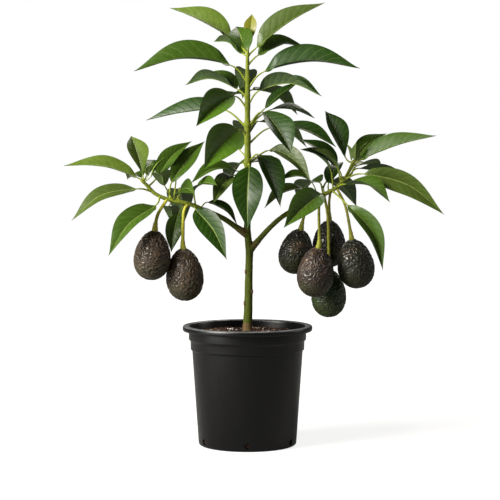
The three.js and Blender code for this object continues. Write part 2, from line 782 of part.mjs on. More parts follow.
function fruitSolid(plan) {
  const limb = limbs.get(plan.limb);
  const axis = heading(0, 90 - plan.lean);
  const onAxis = (past) => axis.clone().multiplyScalar(plan.length / 2 + past);
  const centre = new THREE.Vector3(...plan.centre);
  const curve = smoothCourse([
    limb.curve.getPoint(plan.from),
    new THREE.Vector3(...plan.knee),
    onAxis(FRUIT.collarLength).add(centre),
    onAxis(-FRUIT.sunk).add(centre),
  ]);
  const { stalkRadius, collarRadius } = FRUIT;
  const radii = [stalkRadius + 0.6, stalkRadius, stalkRadius, collarRadius];
  const stalk = limbSolid({ curve, radii }, { sides: FRUIT.stalkSides });
  return fruitBody(plan).add(stalk).subtract(limbSolid(limb, { grow: GAP }));
}

FRUITS.forEach((plan, i) => place(`fruit_${i + 1}`, fruitSolid(plan), FRUIT_SKIN));

export default tree;
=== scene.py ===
"""A young avocado tree in a black nursery pot: folded leaves, pebbled fruit, bark mix and a plain stage."""

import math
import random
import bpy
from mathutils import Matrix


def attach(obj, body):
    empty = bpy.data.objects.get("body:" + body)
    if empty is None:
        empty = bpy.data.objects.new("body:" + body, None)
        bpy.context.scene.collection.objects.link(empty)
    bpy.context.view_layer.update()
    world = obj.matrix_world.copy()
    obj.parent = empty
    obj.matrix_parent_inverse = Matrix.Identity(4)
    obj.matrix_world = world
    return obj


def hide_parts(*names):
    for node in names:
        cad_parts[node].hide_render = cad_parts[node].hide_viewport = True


bl_info = {
    "name": "Potted Avocado Tree",
    "version": (1, 0, 0),
    "blender": (4, 5, 0),
    "location": "3D View > Sidebar > Avocado",
    "description": "Dresses the packed solids of a potted avocado tree and sets its stage",
    "category": "Add Mesh",
}

import bmesh
import bpy
from mathutils import Matrix, Vector, noise

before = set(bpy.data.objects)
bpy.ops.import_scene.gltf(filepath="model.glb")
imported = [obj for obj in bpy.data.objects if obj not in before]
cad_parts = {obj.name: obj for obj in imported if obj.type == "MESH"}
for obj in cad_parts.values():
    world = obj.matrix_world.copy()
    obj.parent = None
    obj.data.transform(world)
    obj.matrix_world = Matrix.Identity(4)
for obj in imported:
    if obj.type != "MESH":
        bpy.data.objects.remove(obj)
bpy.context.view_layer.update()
MM = 0.001

# ---------------------------------------------------------------------------
# The tree's plan, in millimetres
# ---------------------------------------------------------------------------

# Courses are (x, y, z, radius); the trunk's are (height, lean, radius).
TRUNK_COURSE = [
    (206.3, 0, 9.8),
    (212, 0, 8.9),
    (235, 0.9, 8.1),
    (266, 1.8, 7.5),
    (297, 2.3, 7.0),
    (328, 3.0, 6.7),
    (347, 3.4, 6.9),
    (362, 2.2, 6.6),
    (378, 0.8, 6.3),
    (392, -0.2, 5.9),
    (430, 0.2, 5.8),
    (520, 0.2, 5.6),
    (600, 0.1, 4.8),
    (650, 0, 4.1),
    (672, 0, 3.8),
]
LEFT_COURSE = [
    (0, 0, 379, 7.2),
    (-21, -6, 394, 5.2),
    (-42, -14, 409, 4.6),
    (-64, -22, 420, 4.2),
    (-84, -28, 428, 4.1),
    (-107, -31, 437, 3.9),
    (-138, -33, 443, 3.7),
    (-165, -35, 455, 3.2),
    (-184, -36, 474, 2.6),
]
RIGHT_COURSE = [
    (4, 0, 352, 7.6),
    (14, 0, 363, 5.6),
    (37, -1, 389, 4.6),
    (60, -2, 410, 4.4),
    (88, -3, 428, 4.2),
    (116, -4, 443, 4.1),
    (135, -6, 451, 3.9),
    (157, -8, 463, 3.7),
    (175, -9, 482, 3.2),
    (188, -9, 508, 2.6),
]
TOP_COURSE = [
    (0, 0, 672.3, 3.8),
    (0, 0, 690, 3.4),
    (0.5, -0.5, 702, 2.8),
    (1, -1, 708, 2.2),
    (1.6, -1.4, 715, 0.6),
]


def leaf(at, base, tip, tint="green", arch=10, roll=0, fold=22, wide=0.42, belly=0.4):
    """One leaf: where its stalk is rooted, the two ends of its blade, and how it is bent."""
    return {
        "at": at,
        "base": Vector(base) * MM,
        "tip": Vector(tip) * MM,
        "tint": tint,
        "arch": arch * MM,
        "roll": math.radians(roll),
        "fold": math.radians(fold),
        "wide": wide,
        "belly": belly,
    }


TOP_LEAVES = [
    leaf(696, (-30, 45, 736), (-142, 72, 791), "fresh", arch=5, roll=-34, fold=32, wide=0.46),
    leaf(694, (-6, 6, 703), (-20, 78, 758), "green", arch=7, roll=-15, fold=24, wide=0.52),
    leaf(704, (4, 45, 724), (8, 62, 779), "bud", arch=3, fold=20, wide=0.44, belly=0.56),
    leaf(690, (-10, 8, 705), (-62, 70, 730), "green", arch=9, fold=40, wide=0.48),
    leaf(690, (17, 2, 715), (138, 10, 795), "olive", arch=6, roll=35, fold=33, wide=0.42),
    leaf(678, (19, 4, 701), (106, 50, 718), "green", arch=13, roll=34, fold=33),
]

LEADER_LEAVES = {
    "foliage_upper_left": [
        leaf(653, (-31, -4, 683), (-201, -30, 671), "green", arch=17, roll=-34, fold=34),
        leaf(625, (-19, 6, 641), (-115, 100, 652), "green", arch=15, fold=40, wide=0.4, belly=0.38),
    ],
    "foliage_upper_right": [
        leaf(641, (31, -4, 672), (199, -30, 676), "deep", arch=15, roll=34, fold=34),
        leaf(611, (22, -8, 638), (129, -90, 625), "deep", arch=17, roll=-5, fold=38),
    ],
    "foliage_middle_left": [
        leaf(
            604, (-22, -12, 627), (-88, -130, 572), "leafy", arch=8, roll=-40, fold=40, wide=0.44, belly=0.52
        ),
        leaf(571, (-43, 8, 604), (-185, 55, 586), "deep", arch=5, roll=-32, fold=28, wide=0.38),
    ],
    "foliage_middle_right": [
        leaf(575, (31, 4, 606), (95, 30, 656), "deep", arch=3, roll=24, fold=18, wide=0.34),
        leaf(573, (39, 8, 603), (123, 60, 590), "green", arch=9, roll=20, fold=25, wide=0.36, belly=0.58),
        leaf(571, (25, -14, 599), (76, -95, 526), "deep", arch=8, roll=14, fold=36, wide=0.5, belly=0.54),
        leaf(541, (40, 5, 571), (158, -20, 537), "deep", arch=14, roll=32, fold=30, wide=0.31, belly=0.56),
    ],
    "foliage_front": [
        leaf(
            550, (-14, -14, 568), (-75, -130, 498), "leafy", arch=8, roll=-42, fold=32, wide=0.48, belly=0.5
        ),
        leaf(503, (3, -24, 503), (0, -62, 391), "deep", arch=15, fold=15, wide=0.48),
    ],
    "foliage_lower_left": [
        leaf(518, (-14, 11, 532), (-26, 80, 549), "green", arch=10, fold=25, wide=0.46),
        leaf(490, (-17, -8, 494), (-100, -60, 473), "green", arch=15, roll=-30, fold=28, wide=0.36),
        leaf(484, (-26, -10, 486), (-61, -75, 436), "olive", arch=8, roll=-22, fold=30, wide=0.42),
    ],
    "foliage_lower_right": [
        leaf(505, (39, 4, 531), (113, -45, 474), "olive", arch=14, roll=42, fold=38, wide=0.38),
        leaf(509, (20, -12, 523), (58, -70, 432), "deep", arch=5, roll=2, fold=34, wide=0.5),
    ],
}

LEFT_LEAVES = [
    leaf(0.5, (-70, -36, 439), (-18, -34, 399), "deep", arch=9, roll=35, fold=24, wide=0.38),
    leaf(0.52, (-92, -40, 427), (-36, -90, 340), "deep", arch=9, roll=54, fold=30, wide=0.42),
    leaf(0.55, (-94, -30, 461), (-52, -95, 470), "green", arch=8, roll=34, fold=24),
    leaf(0.63, (-124, 10, 417), (-137, -8, 348), "green", arch=5, roll=-40, fold=28, wide=0.5),
    leaf(0.68, (-123, -40, 453), (-91, -115, 456), "green", arch=10, roll=50, fold=22, wide=0.46),
    leaf(0.72, (-128, 5, 480), (-111, 60, 530), "green", arch=8, roll=10),
    leaf(0.75, (-135, -28, 474), (-78, 50, 548), "green", arch=3, roll=30, fold=30, wide=0.34),
    leaf(0.72, (-140, -14, 432), (-136, 46, 392), "green", arch=10, fold=20),
    leaf(0.72, (-146, -55, 469), (-153, -130, 491), "fresh", arch=8, roll=10, fold=24, wide=0.46),
    leaf(0.83, (-162, -52, 434), (-241, -110, 348), "green", arch=13, roll=-28, fold=26, wide=0.38),
    leaf(0.9, (-196, -50, 463), (-306, -95, 409), "olive", arch=17, roll=-31, fold=14, wide=0.31),
    leaf(0.96, (-196, -36, 483), (-324, -50, 504), "fresh", arch=11, roll=-34, fold=30, wide=0.33),
    leaf(0.95, (-162, -15, 482), (-101, 35, 548), "green", arch=8, roll=32, fold=30, wide=0.37),
    leaf(1, (-186, -30, 486), (-209, 5, 557), "fresh", arch=3, roll=-7, fold=24, wide=0.54, belly=0.6),
    leaf(1, (-176, -44, 486), (-166, -52, 508), "young", arch=3, fold=24, wide=0.6),
    leaf(1, (-172, -30, 484), (-146, -25, 520), "young", arch=2, fold=30, wide=0.3),
    leaf(1, (-180, -14, 488), (-170, 50, 514), "green", arch=6, fold=22),
    leaf(0.97, (-190, -20, 483), (-220, 55, 478), "green", arch=8, fold=24),
]

RIGHT_LEAVES = [
    leaf(0.58, (100, -2, 462), (30, -22, 428), "olive", arch=12, roll=-26, fold=24),
    leaf(0.62, (113, -14, 476), (57, -40, 479), "green", arch=9, roll=-32, fold=24, wide=0.44),
    leaf(0.64, (132, -22, 454), (63, -95, 396), "green", arch=4, roll=-39, fold=32, wide=0.5),
    leaf(0.72, (146, 8, 472), (176, 70, 510), "deep", arch=8, fold=22),
    leaf(0.75, (178, -36, 434), (239, -64, 319), "green", arch=16, roll=54, fold=45, wide=0.33),
    leaf(0.76, (147, -24, 499), (93, -60, 533), "deep", arch=8, roll=-34, fold=24, wide=0.44),
    leaf(0.8, (174, -32, 471), (248, -95, 441), "green", arch=14, roll=12, fold=30, wide=0.44, belly=0.46),
    leaf(0.84, (160, 10, 502), (94, 45, 552), "deep", arch=8, roll=-26, fold=24),
    leaf(0.86, (163, -26, 497), (117, -55, 533), "fresh", arch=5, roll=-34, fold=24, wide=0.55),
    leaf(0.88, (208, -24, 489), (346, -70, 418), "olive", arch=18, roll=84, fold=42, wide=0.33),
    leaf(0.93, (203, -10, 514), (334, -40, 557), "green", arch=5, roll=34, fold=30, wide=0.38),
    leaf(1, (176, 2, 518), (140, 24, 602), "deep", arch=3, roll=-30, fold=34, wide=0.52, belly=0.56),
    leaf(1, (194, 8, 512), (254, 60, 562), "green", arch=8, roll=28, fold=24),
    leaf(1, (186, -10, 514), (177, -16, 543), "young", arch=2, fold=24, wide=0.5),
    leaf(1, (192, -12, 514), (193, -32, 546), "young", arch=2, fold=24, wide=0.42),
    leaf(1, (197, -10, 514), (212, -16, 545), "young", arch=2, fold=28, wide=0.34),
]

# Side shoots behind the crown: where each starts, its bearing and rise in degrees, its length, how many
# leaves it bears and its seed.
LEADER_SHOOTS = {
    "foliage_back_top": (655, 84, 40, 24, 4, 5),
    "foliage_back_upper": (612, 100, 36, 26, 5, 11),
    "foliage_back_middle": (556, 84, 30, 28, 5, 23),
    "foliage_back_lower": (488, 98, 26, 30, 5, 37),
}
LEFT_SHOOTS = [(0.7, 78, 30, 34, 4, 41), (0.88, 118, 26, 34, 4, 53)]
RIGHT_SHOOTS = [(0.68, 96, 24, 34, 4, 67), (0.86, 58, 22, 34, 4, 79)]
SHOOT_RADIUS = 2.6 * MM
SHOOT_STALK = 24 * MM
SHOOT_LEAF = 122 * MM
SHOOT_SPREAD = 130
GOLDEN_TURN = 0.618
CROWN_REACH, CROWN_BOTTOM, CROWN_TOP = 345 * MM, 300 * MM, 790 * MM
LEAF_CLEARANCE = 9 * MM
LIMB_CLEARANCE = 7 * MM

# Fruit: limb, place of the stalk on it, knee of the stalk, middle, length, radius, lean, skin, stalk.
FRUITS = [
    ("left", 0.77, (-157, -46, 421), (-168, -54, 346), 89, 32.5, 6, "brown", "yellow"),
    ("left", 0.62, (-113, -34, 420), (-112, -30, 310), 95, 33.5, -3, "brown", "yellow"),
    ("right", 0.57, (106, 6, 425), (88, 10, 349), 83, 30.5, 12, "black", "olive"),
    ("right", 0.64, (127, -34, 424), (121, -50, 316), 90, 32.5, 6, "plum", "olive"),
    ("right", 0.735, (148, 26, 438), (149, 45, 361), 87, 30.5, 0, "black", "olive"),
    ("right", 0.79, (175, -12, 432), (193, -22, 329), 90, 33, -9, "black", "olive"),
    ("right", 0.68, (145, 6, 405), (147, 13, 273), 88, 31.5, 0, "green", "olive"),
]
FRUIT_TAPER = 0.16
COLLAR_LENGTH, FRUIT_SUNK = 13 * MM, 4 * MM

# Leaf scars on the trunk: height, and the bearing they face, in degrees from +X towards the back. Each is
# a rim and a heart, by breadth, height and how far it stands out.
LEAF_SCARS = [(313, 208), (277, -30), (256, 206), (334, 70), (296, 120), (241, 48), (452, 100)]
SCAR_SHAPES = ((3.4, 4.4, 1.7), (2.0, 2.6, 2.2))

# Outlines as (radius, height): the pot's wall, and the mix up to the edge of its rough surface.
POT_OUTLINE = [
    (0, 0.6), (60, 0.6), (66, 0), (82, 0), (85.6, 0.5), (87.6, 1.9), (88.5, 4.5),
    (99.6, 168.5), (100, 171.2), (101.6, 172.4), (102.4, 173.2), (102.6, 174.6),
    (102.9, 187), (103.4, 188.9), (105.2, 190.4), (105.8, 191.4), (106, 193), (106, 206.4),
    (108.5, 206.5), (114.2, 206.5), (115.8, 206.9), (116.8, 208.2), (117, 210),
    (117, 213), (116.6, 214.6), (115.6, 215.7), (114, 216), (107.6, 216),
    (105.6, 215.4), (104.3, 213.8), (103.8, 211.4), (103.8, 193.6), (103.6, 192), (100.6, 190.4),
    (100.4, 175.6), (97.9, 173.6), (97.5, 170), (86.3, 6.6), (84, 3.2), (80, 2.4), (0, 2.4),
]
MIX_OUTLINE = [
    (0, 3), (80, 3), (85.6, 7), (96.9, 169.8), (97.2, 173), (99.9, 174.4), (99.9, 191.2), (103.1, 193),
]
MIX_LEVEL = 200
MIX_RINGS = (103.1, 100, 96, *range(92, 79, -4), *range(75, 14, -5), 11, 7, 3.5, 0)
MIX_TOP, MIX_DISH, MIX_FLAT, MIX_SPREAD = 204.5 * MM, 4.2 * MM, 16 * MM, 87 * MM
DRAIN_HOLES, DRAIN_RADIUS, DRAIN_HEIGHT, DRAIN_REACH, DRAIN_DEPTH = 6, 5.5 * MM, 11 * MM, 88.5 * MM, 14 * MM

# Loose parts of the mix: how far from the axis they lie, how clear of the trunk, and how large they are.
CHIP_REACH, CHIP_CLEAR = 100.5 * MM, 11.5 * MM
CHIP_SIZES = ((2.2, 6.5), (1.2, 2.8), (0.5, 1.2))
CHIP_GIRTHS = ((-1, 0.45), (-0.35, 1.0), (0.4, 0.9), (1, 0.4))
GRAINS, GRAIN_REACH, GRAIN_CLEAR, GRAIN_SIZES = 90, 98 * MM, 12.5 * MM, (0.9, 1.9)
MIX_SEED = 7


# ---------------------------------------------------------------------------
# Settings
# ---------------------------------------------------------------------------


def number_prop(name, description, default, **form):
    """A number that a user may change."""
    return bpy.props.FloatProperty(name=name, description=description, default=default, min=0.0, **form)


def length_prop(name, description, default):
    """A length that a user may change, kept in metres."""
    return number_prop(name, description, default, unit="LENGTH", precision=4)


def power_prop(name, description, default):
    """A lamp's power that a user may change."""
    return number_prop(name, description, default, unit="POWER")


def colour_prop(name, description, default):
    """A base colour that a user may change."""
    return bpy.props.FloatVectorProperty(
        name=name, description=description, default=default, size=3, min=0.0, max=1.0, subtype="COLOR"
    )


class AvocadoPotSettings(bpy.types.PropertyGroup):
    """Sizes and colours of the pot and its mix."""

    steps: bpy.props.IntProperty(
        name="Steps Round", description="Faces round the pot", default=144, min=24, max=360
    )
    plastic: colour_prop("Plastic", "Moulded plastic of the pot", (0.0004, 0.0004, 0.0005))
    chips: bpy.props.IntProperty(
        name="Bark Chips", description="Loose chips on the mix", default=1500, min=0, max=4000
    )
    humus: colour_prop("Humus", "Fine dark part of the mix", (0.022, 0.012, 0.008))


class AvocadoTreeSettings(bpy.types.PropertyGroup):
    """Sizes and colours of wood, twigs and leaves."""

    voxel: length_prop("Wood Detail", "Grid that trunk and boughs are fused on", 0.0008)
    blade: length_prop("Blade Thickness", "Thickness of a leaf blade", 0.0006)
    wave: number_prop("Margin Wave", "Wave of the leaf margins, as a share of their length", 0.003, max=0.1)
    deep: colour_prop("Deep Leaf", "Oldest, darkest leaves", (0.009, 0.031, 0.0012))
    green: colour_prop("Green Leaf", "Full-grown leaves", (0.029, 0.063, 0.0045))
    olive: colour_prop("Olive Leaf", "Leaves with a yellow cast", (0.042, 0.068, 0.01))
    leafy: colour_prop("Light Green Leaf", "Leaves with a pure light green", (0.045, 0.1, 0.007))
    fresh: colour_prop("Fresh Leaf", "Newly grown leaves", (0.075, 0.118, 0.014))
    young: colour_prop("Young Leaf", "Young light leaves", (0.11, 0.165, 0.02))
    bud: colour_prop("Opening Bud", "Yellow tips of the shoots", (0.135, 0.135, 0.012))
    under: colour_prop("Leaf Underside", "Pale underside of leaves", (0.075, 0.108, 0.05))
    rib: colour_prop("Midrib", "Midribs of the leaves", (0.17, 0.22, 0.06))
    stalk: colour_prop("Leaf Stalk", "Leaf stalks and green twigs", (0.19, 0.23, 0.02))
    bark: colour_prop("Young Bark", "Green bark of trunk and boughs", (0.054, 0.074, 0.006))
    old_bark: colour_prop("Old Bark", "Brown bark at the foot and forks", (0.115, 0.07, 0.034))


class AvocadoFruitSettings(bpy.types.PropertyGroup):
    """Sizes and colours of the fruit."""

    pebble: length_prop("Pebble Depth", "Depth of the furrows in the skin", 0.0024)
    brown: colour_prop("Brown Skin", "Skin of the ripest fruit", (0.03, 0.0185, 0.009))
    plum: colour_prop("Plum Skin", "Skin of the darker brown fruit", (0.018, 0.0112, 0.0075))
    black: colour_prop("Black Skin", "Skin of the darkest fruit", (0.005, 0.005, 0.0014))
    green: colour_prop("Green Skin", "Skin of the least ripe fruit", (0.008, 0.0185, 0.0018))
    yellow_stalk: colour_prop("Yellow Stalk", "Stalks of the left fruit", (0.32, 0.31, 0.03))
    olive_stalk: colour_prop("Olive Stalk", "Stalks of the right fruit", (0.2, 0.205, 0.02))


class AvocadoStageSettings(bpy.types.PropertyGroup):
    """Floor and light."""

    floor: length_prop("Floor Radius", "Radius of the plain floor", 9.0)
    floor_colour: colour_prop("Floor", "Plain pale floor", (0.2, 0.2, 0.2))
    glow: number_prop("Floor Glow", "Light of the lit floor panel itself", 0.97)
    middle: number_prop("Floor Middle", "Share of the glow seen round the pot, where lamps add to it", 0.84)
    bounce: number_prop("Floor Bounce", "Share of the floor's glow that lights the plant", 0.2)
    wall: number_prop("Wall", "Brightness of the white wall as a light", 0.26)
    flag: number_prop("Flag", "Share of the room's light that is left in reflections", 0.3)
    sky: number_prop("Sky", "Brightness of the room above its white wall", 0.09)
    warmth: colour_prop("Light Colour", "Slightly warm white of the lamps", (1.0, 0.965, 0.9))
    key: power_prop("Key Light", "Power of the main soft light", 365.0)
    fill: power_prop("Fill Light", "Power of the fill light", 4.0)
    side: power_prop("Side Light", "Power of the light on the far side", 15.0)
    back: power_prop("Back Light", "Power of the light behind", 45.0)
    panel: power_prop("Panel Light", "Power of the low panel beside the pot", 5.0)
    sun: number_prop("Even Light", "Strength of the broad even light", 0.4)


# ---------------------------------------------------------------------------
# Curves and frames
# ---------------------------------------------------------------------------


def spline(points, share):
    """Point and direction at a share of a smooth course through points."""
    place = share * (len(points) - 1)
    i = min(int(place), len(points) - 2)
    t = place - i
    a, b = points[i], points[i + 1]
    before = points[i - 1] if i > 0 else a * 2 - b
    after = points[i + 2] if i + 2 < len(points) else b * 2 - a
    start, end = (b - before) * 0.5, (after - a) * 0.5
    square, cube = (b - a) * 3 - start * 2 - end, (a - b) * 2 + start + end
    point = a + start * t + square * (t * t) + cube * (t * t * t)
    return point, (start + square * (2 * t) + cube * (3 * t * t)).normalized()


def along_values(values, share):
    """Straight-line value of a row of numbers at a share of its length."""
    place = share * (len(values) - 1)
    i = min(int(place), len(values) - 2)
    return values[i] + (values[i + 1] - values[i]) * (place - i)


def limb(course):
    """A limb's points and radii, in metres."""
    return [Vector(p[:3]) * MM for p in course], [p[3] * MM for p in course]


TRUNK = limb([(lean, 0, height, radius) for height, lean, radius in TRUNK_COURSE])
LIMBS = {"left": limb(LEFT_COURSE), "right": limb(RIGHT_COURSE), "top": limb(TOP_COURSE)}


def trunk_section(height):
    """Middle and radius of the trunk at a height in millimetres."""
    i = max(1, next(k for k, p in enumerate(TRUNK_COURSE) if p[0] >= height))
    low, high = TRUNK_COURSE[i - 1], TRUNK_COURSE[i]
    share = (height - low[0]) / (high[0] - low[0])
    lean, radius = (low[k] + (high[k] - low[k]) * share for k in (1, 2))
    return Vector((lean, 0, height)) * MM, radius * MM


def trunk_at(height):
    """Middle of the trunk at a height in millimetres."""
    return trunk_section(height)[0]


def top_at(height):
    """Middle of the leading shoot at a height in millimetres."""
    low, high = TOP_COURSE[0][2], TOP_COURSE[-1][2]
    return spline(LIMBS["top"][0], (height - low) / (high - low))[0]


def heading(bearing, rise):
    """Direction at a bearing from +X towards the back and a rise, in degrees."""
    turn, lift = math.radians(bearing), math.radians(rise)
    return Vector((math.cos(turn) * math.cos(lift), math.sin(turn) * math.cos(lift), math.sin(lift)))


def blade_width(share, belly):
    """Half the blade's width as a share of its widest, which it reaches at the share belly."""
    return max(0.0, math.sin(math.pi * share ** (math.log(0.5) / math.log(belly)))) ** 1.2


def midrib(plan):
    """Points of a midrib's course from the stalk's root to the tip, the blade's level side and length."""
    chord = plan["tip"] - plan["base"]
    side = Vector((chord.y, -chord.x, 0)).normalized()
    upper = side.cross(chord).normalized()
    middle = plan["base"] + chord * 0.5 + upper * plan["arch"]
    return [plan["root"], plan["base"], middle, plan["tip"]], side, chord.length


def blade_frame(points, side, share, roll):
    """Point, side, upper and along directions at a share of the midrib's course."""
    point, along = spline(points, share)
    level = (side - along * side.dot(along)).normalized()
    upper = level.cross(along)
    turned = level * math.cos(roll) - upper * math.sin(roll)
    return point, turned, upper * math.cos(roll) + level * math.sin(roll), along


# ---------------------------------------------------------------------------
# The crown's plan
# ---------------------------------------------------------------------------


SEED_FACTOR, SEED_STEP, SEED_SPAN = 1664525, 1013904223, 2**32


def seeded(seed):
    """Numbers from 0 to 1 that are the same in every run."""
    state = seed
    while True:
        state = (state * SEED_FACTOR + SEED_STEP) % SEED_SPAN
        yield state / SEED_SPAN


def blade_points(plan):
    """Points spread over a blade, for the clearance rule."""
    points, side, length = midrib(plan)
    widest = length * plan["wide"] / 2
    spread = []
    for i in range(13):
        share = i / 12
        point, across, upper, _ = blade_frame(points, side, (1 + 2 * share) / 3, plan["roll"])
        for out in (-1, -0.5, 0, 0.5, 1):
            reach = out * widest * blade_width(share, plan["belly"])
            rise = abs(reach) * math.sin(plan["fold"])
            spread.append(point + across * (reach * math.cos(plan["fold"])) + upper * rise)
    return spread


def shoot_leaves(foot, bearing, rise, length, count, seed):
    """The leaves of a side shoot, set round its outer half, and the shoot's end."""
    numbers = seeded(seed)
    run = heading(bearing, rise) * (length * MM)
    leaves = []
    for i in range(count):
        root = foot + run * (0.4 + 0.6 * (i + 1) / count)
        swing = SHOOT_SPREAD * (((i + 1) * GOLDEN_TURN) % 1) - SHOOT_SPREAD / 2
        facing = bearing + swing + 16 * (next(numbers) - 0.5)
        droop = -8 - 26 * next(numbers)
        size = SHOOT_LEAF * (0.82 + 0.3 * next(numbers))
        base = root + heading(facing, 34) * SHOOT_STALK
        roll = math.radians(30 * (next(numbers) - 0.5))
        leaves.append(
            {
                "root": root,
                "base": base,
                "tip": base + heading(facing, droop) * size,
                "tint": ("green", "deep", "green", "fresh")[i % 4],
                "arch": 0.11 * size,
                "roll": roll,
                "fold": math.radians(24),
                "wide": 0.42,
                "belly": 0.4,
            }
        )
    return leaves, foot + run


def plan_crown():
    """Every mass of the crown: its leaves, and its shoots as pairs of ends."""

    def mass_of(leaves, root_at):
        return {"leaves": [dict(plan, root=root_at(plan["at"])) for plan in leaves], "shoots": []}

    def on_limb(name):
        return lambda share: spline(LIMBS[name][0], share)[0]

    masses = {"foliage_top": mass_of(TOP_LEAVES, top_at)}
    for name, leaves in LEADER_LEAVES.items():
        masses[name] = mass_of(leaves, trunk_at)
    masses["foliage_left"] = mass_of(LEFT_LEAVES, on_limb("left"))
    masses["foliage_right"] = mass_of(RIGHT_LEAVES, on_limb("right"))

    kept = [p for mass in masses.values() for plan in mass["leaves"] for p in blade_points(plan)]
    bones = []
    for points, radii in (TRUNK, LIMBS["left"], LIMBS["right"], LIMBS["top"]):
        steps = (len(radii) - 1) * 4
        bones += [(spline(points, i / steps)[0], along_values(radii, i / steps)) for i in range(steps + 1)]

    def has_room(points):
        if any(p.xy.length >= CROWN_REACH or not CROWN_BOTTOM < p.z < CROWN_TOP for p in points):
            return False
        if any((p - bone).length < radius + LIMB_CLEARANCE for bone, radius in bones for p in points):
            return False
        return not any((p - other).length < LEAF_CLEARANCE for other in kept for p in points)

    def add_shoot(name, foot, shoot):
        leaves, end = shoot_leaves(foot, *shoot)
        mass = masses.setdefault(name, {"leaves": [], "shoots": []})
        mass["shoots"].append((foot, end))
        for plan in leaves:
            points = blade_points(plan)
            if has_room(points):
                kept.extend(points)
                mass["leaves"].append(plan)

    for name, (height, *shoot) in LEADER_SHOOTS.items():
        add_shoot(name, trunk_at(height), shoot)
    for side, shoots in (("left", LEFT_SHOOTS), ("right", RIGHT_SHOOTS)):
        for share, *shoot in shoots:
            add_shoot(f"foliage_{side}", on_limb(side)(share), shoot)
    return masses


# ---------------------------------------------------------------------------
# Mesh helpers
# ---------------------------------------------------------------------------


def link_piece(name, mesh, replaced, materials, smooth=True):
    """Makes an object of a mesh, rides it on the plant and hides the parts it replaces."""
    for material in materials:
        mesh.materials.append(material)
    if smooth:
        mesh.shade_smooth()
    piece = bpy.data.objects.new(name, mesh)
    bpy.context.scene.collection.objects.link(piece)
    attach(piece, "root")
    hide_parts(*replaced)


def mesh_of(bm, name):
    """Turns a bmesh into a mesh with its faces outwards."""
    bmesh.ops.recalc_face_normals(bm, faces=bm.faces)
    mesh = bpy.data.meshes.new(name)
    bm.to_mesh(mesh)
    bm.free()
    return mesh


class Pile:
    """Many small closed shapes gathered into the arrays of one mesh."""

    def __init__(self):
        self.points, self.faces, self.finishes, self.places = [], [], [], []

    def add_rings(self, rings, finish, places=None):
        """A closed skin over rings of equal count that turn counter-clockwise about their run."""
        start, count = len(self.points), len(rings[0])
        for k, ring in enumerate(rings):
            self.points += ring
            self.places += places[k] if places else [(0.5, k / (len(rings) - 1))] * count
        for i in range(len(rings) - 1):
            for j in range(count):
                a, b = start + i * count + j, start + i * count + (j + 1) % count
                self.faces.append((a, b, b + count, a + count))
                self.finishes.append(finish(j) if callable(finish) else finish)
        last = start + (len(rings) - 1) * count
        for cap in (range(start + count - 1, start - 1, -1), range(last, last + count)):
            self.faces.append(tuple(cap))
            self.finishes.append(finish(0) if callable(finish) else finish)

    def mesh(self, name):
        """The mesh, with each point's place on its own shape as a UV map."""
        mesh = bpy.data.meshes.new(name)
        mesh.from_pydata(self.points, [], self.faces)
        mesh.polygons.foreach_set("material_index", self.finishes)
        uv = mesh.uv_layers.new(name="blade")
        corners = [c for loop in mesh.loops for c in self.places[loop.vertex_index]]
        uv.data.foreach_set("uv", corners)
        mesh.update()
        return mesh


def tube_rings(points, radii, steps, sides, end=1.0):
    """Rings of a round tube along a course up to a share of it; the radii run over the tube's own length."""
    rings, side = [], None
    for i in range(steps + 1):
        centre, along = spline(points, end * i / steps)
        if side is None:
            side = along.orthogonal().normalized()
        side = (side - along * side.dot(along)).normalized()
        top = along.cross(side)
        radius = along_values(radii, i / steps)
        turns = [2 * math.pi * j / sides for j in range(sides)]
        rings.append([centre + side * (radius * math.cos(t)) + top * (radius * math.sin(t)) for t in turns])
    return rings


def extrude_limb(bm, points, radii, steps, sides):
    """Extrudes a circle along a course into a closed tapering limb."""

    def section(share):
        centre, along = spline(points, share)
        across = Vector((0, 1, 0)) if abs(along.y) < 0.7 else Vector((1, 0, 0))
        side = across.cross(along).normalized()
        turn = Matrix((side, along.cross(side), along)).transposed().to_4x4()
        return Matrix.Translation(centre) @ turn @ Matrix.Scale(along_values(radii, share), 4)

    here = section(0.0)
    ring = bmesh.ops.create_circle(bm, segments=sides, radius=1.0, matrix=here)["verts"]
    edges = list({e for v in ring for e in v.link_edges})
    bmesh.ops.contextual_create(bm, geom=edges)
    for i in range(1, steps + 1):
        there = section(i / steps)
        grown = bmesh.ops.extrude_edge_only(bm, edges=edges)["geom"]
        ring = [g for g in grown if isinstance(g, bmesh.types.BMVert)]
        edges = [g for g in grown if isinstance(g, bmesh.types.BMEdge)]
        bmesh.ops.transform(bm, matrix=there @ here.inverted(), verts=ring)
        here = there
    bmesh.ops.contextual_create(bm, geom=edges)


def spin_profile(profile, steps):
    """A turned shape from a profile of (radius, height) in millimetres that starts and ends on the axis."""
    bm = bmesh.new()
    verts = [bm.verts.new((radius * MM, 0, height * MM)) for radius, height in profile]
    edges = [bm.edges.new(pair) for pair in zip(verts, verts[1:])]
    axis, turn = (0, 0, 1), 2 * math.pi
    bmesh.ops.spin(bm, geom=verts + edges, cent=(0, 0, 0), axis=axis, angle=turn, steps=steps, use_merge=True)
    bmesh.ops.remove_doubles(bm, verts=bm.verts, dist=1e-6)
    return bm


def applied(piece_mesh, name, settle):
    """A mesh with modifiers applied; settle adds them to a helper object."""
    helper = bpy.data.objects.new("helper", piece_mesh)
    bpy.context.scene.collection.objects.link(helper)
    settle(helper)
    seen = helper.evaluated_get(bpy.context.evaluated_depsgraph_get())
    mesh = bpy.data.meshes.new_from_object(seen)
    mesh.name = name
    bpy.data.objects.remove(helper)
    return mesh


# ---------------------------------------------------------------------------
# Shader node groups
# ---------------------------------------------------------------------------


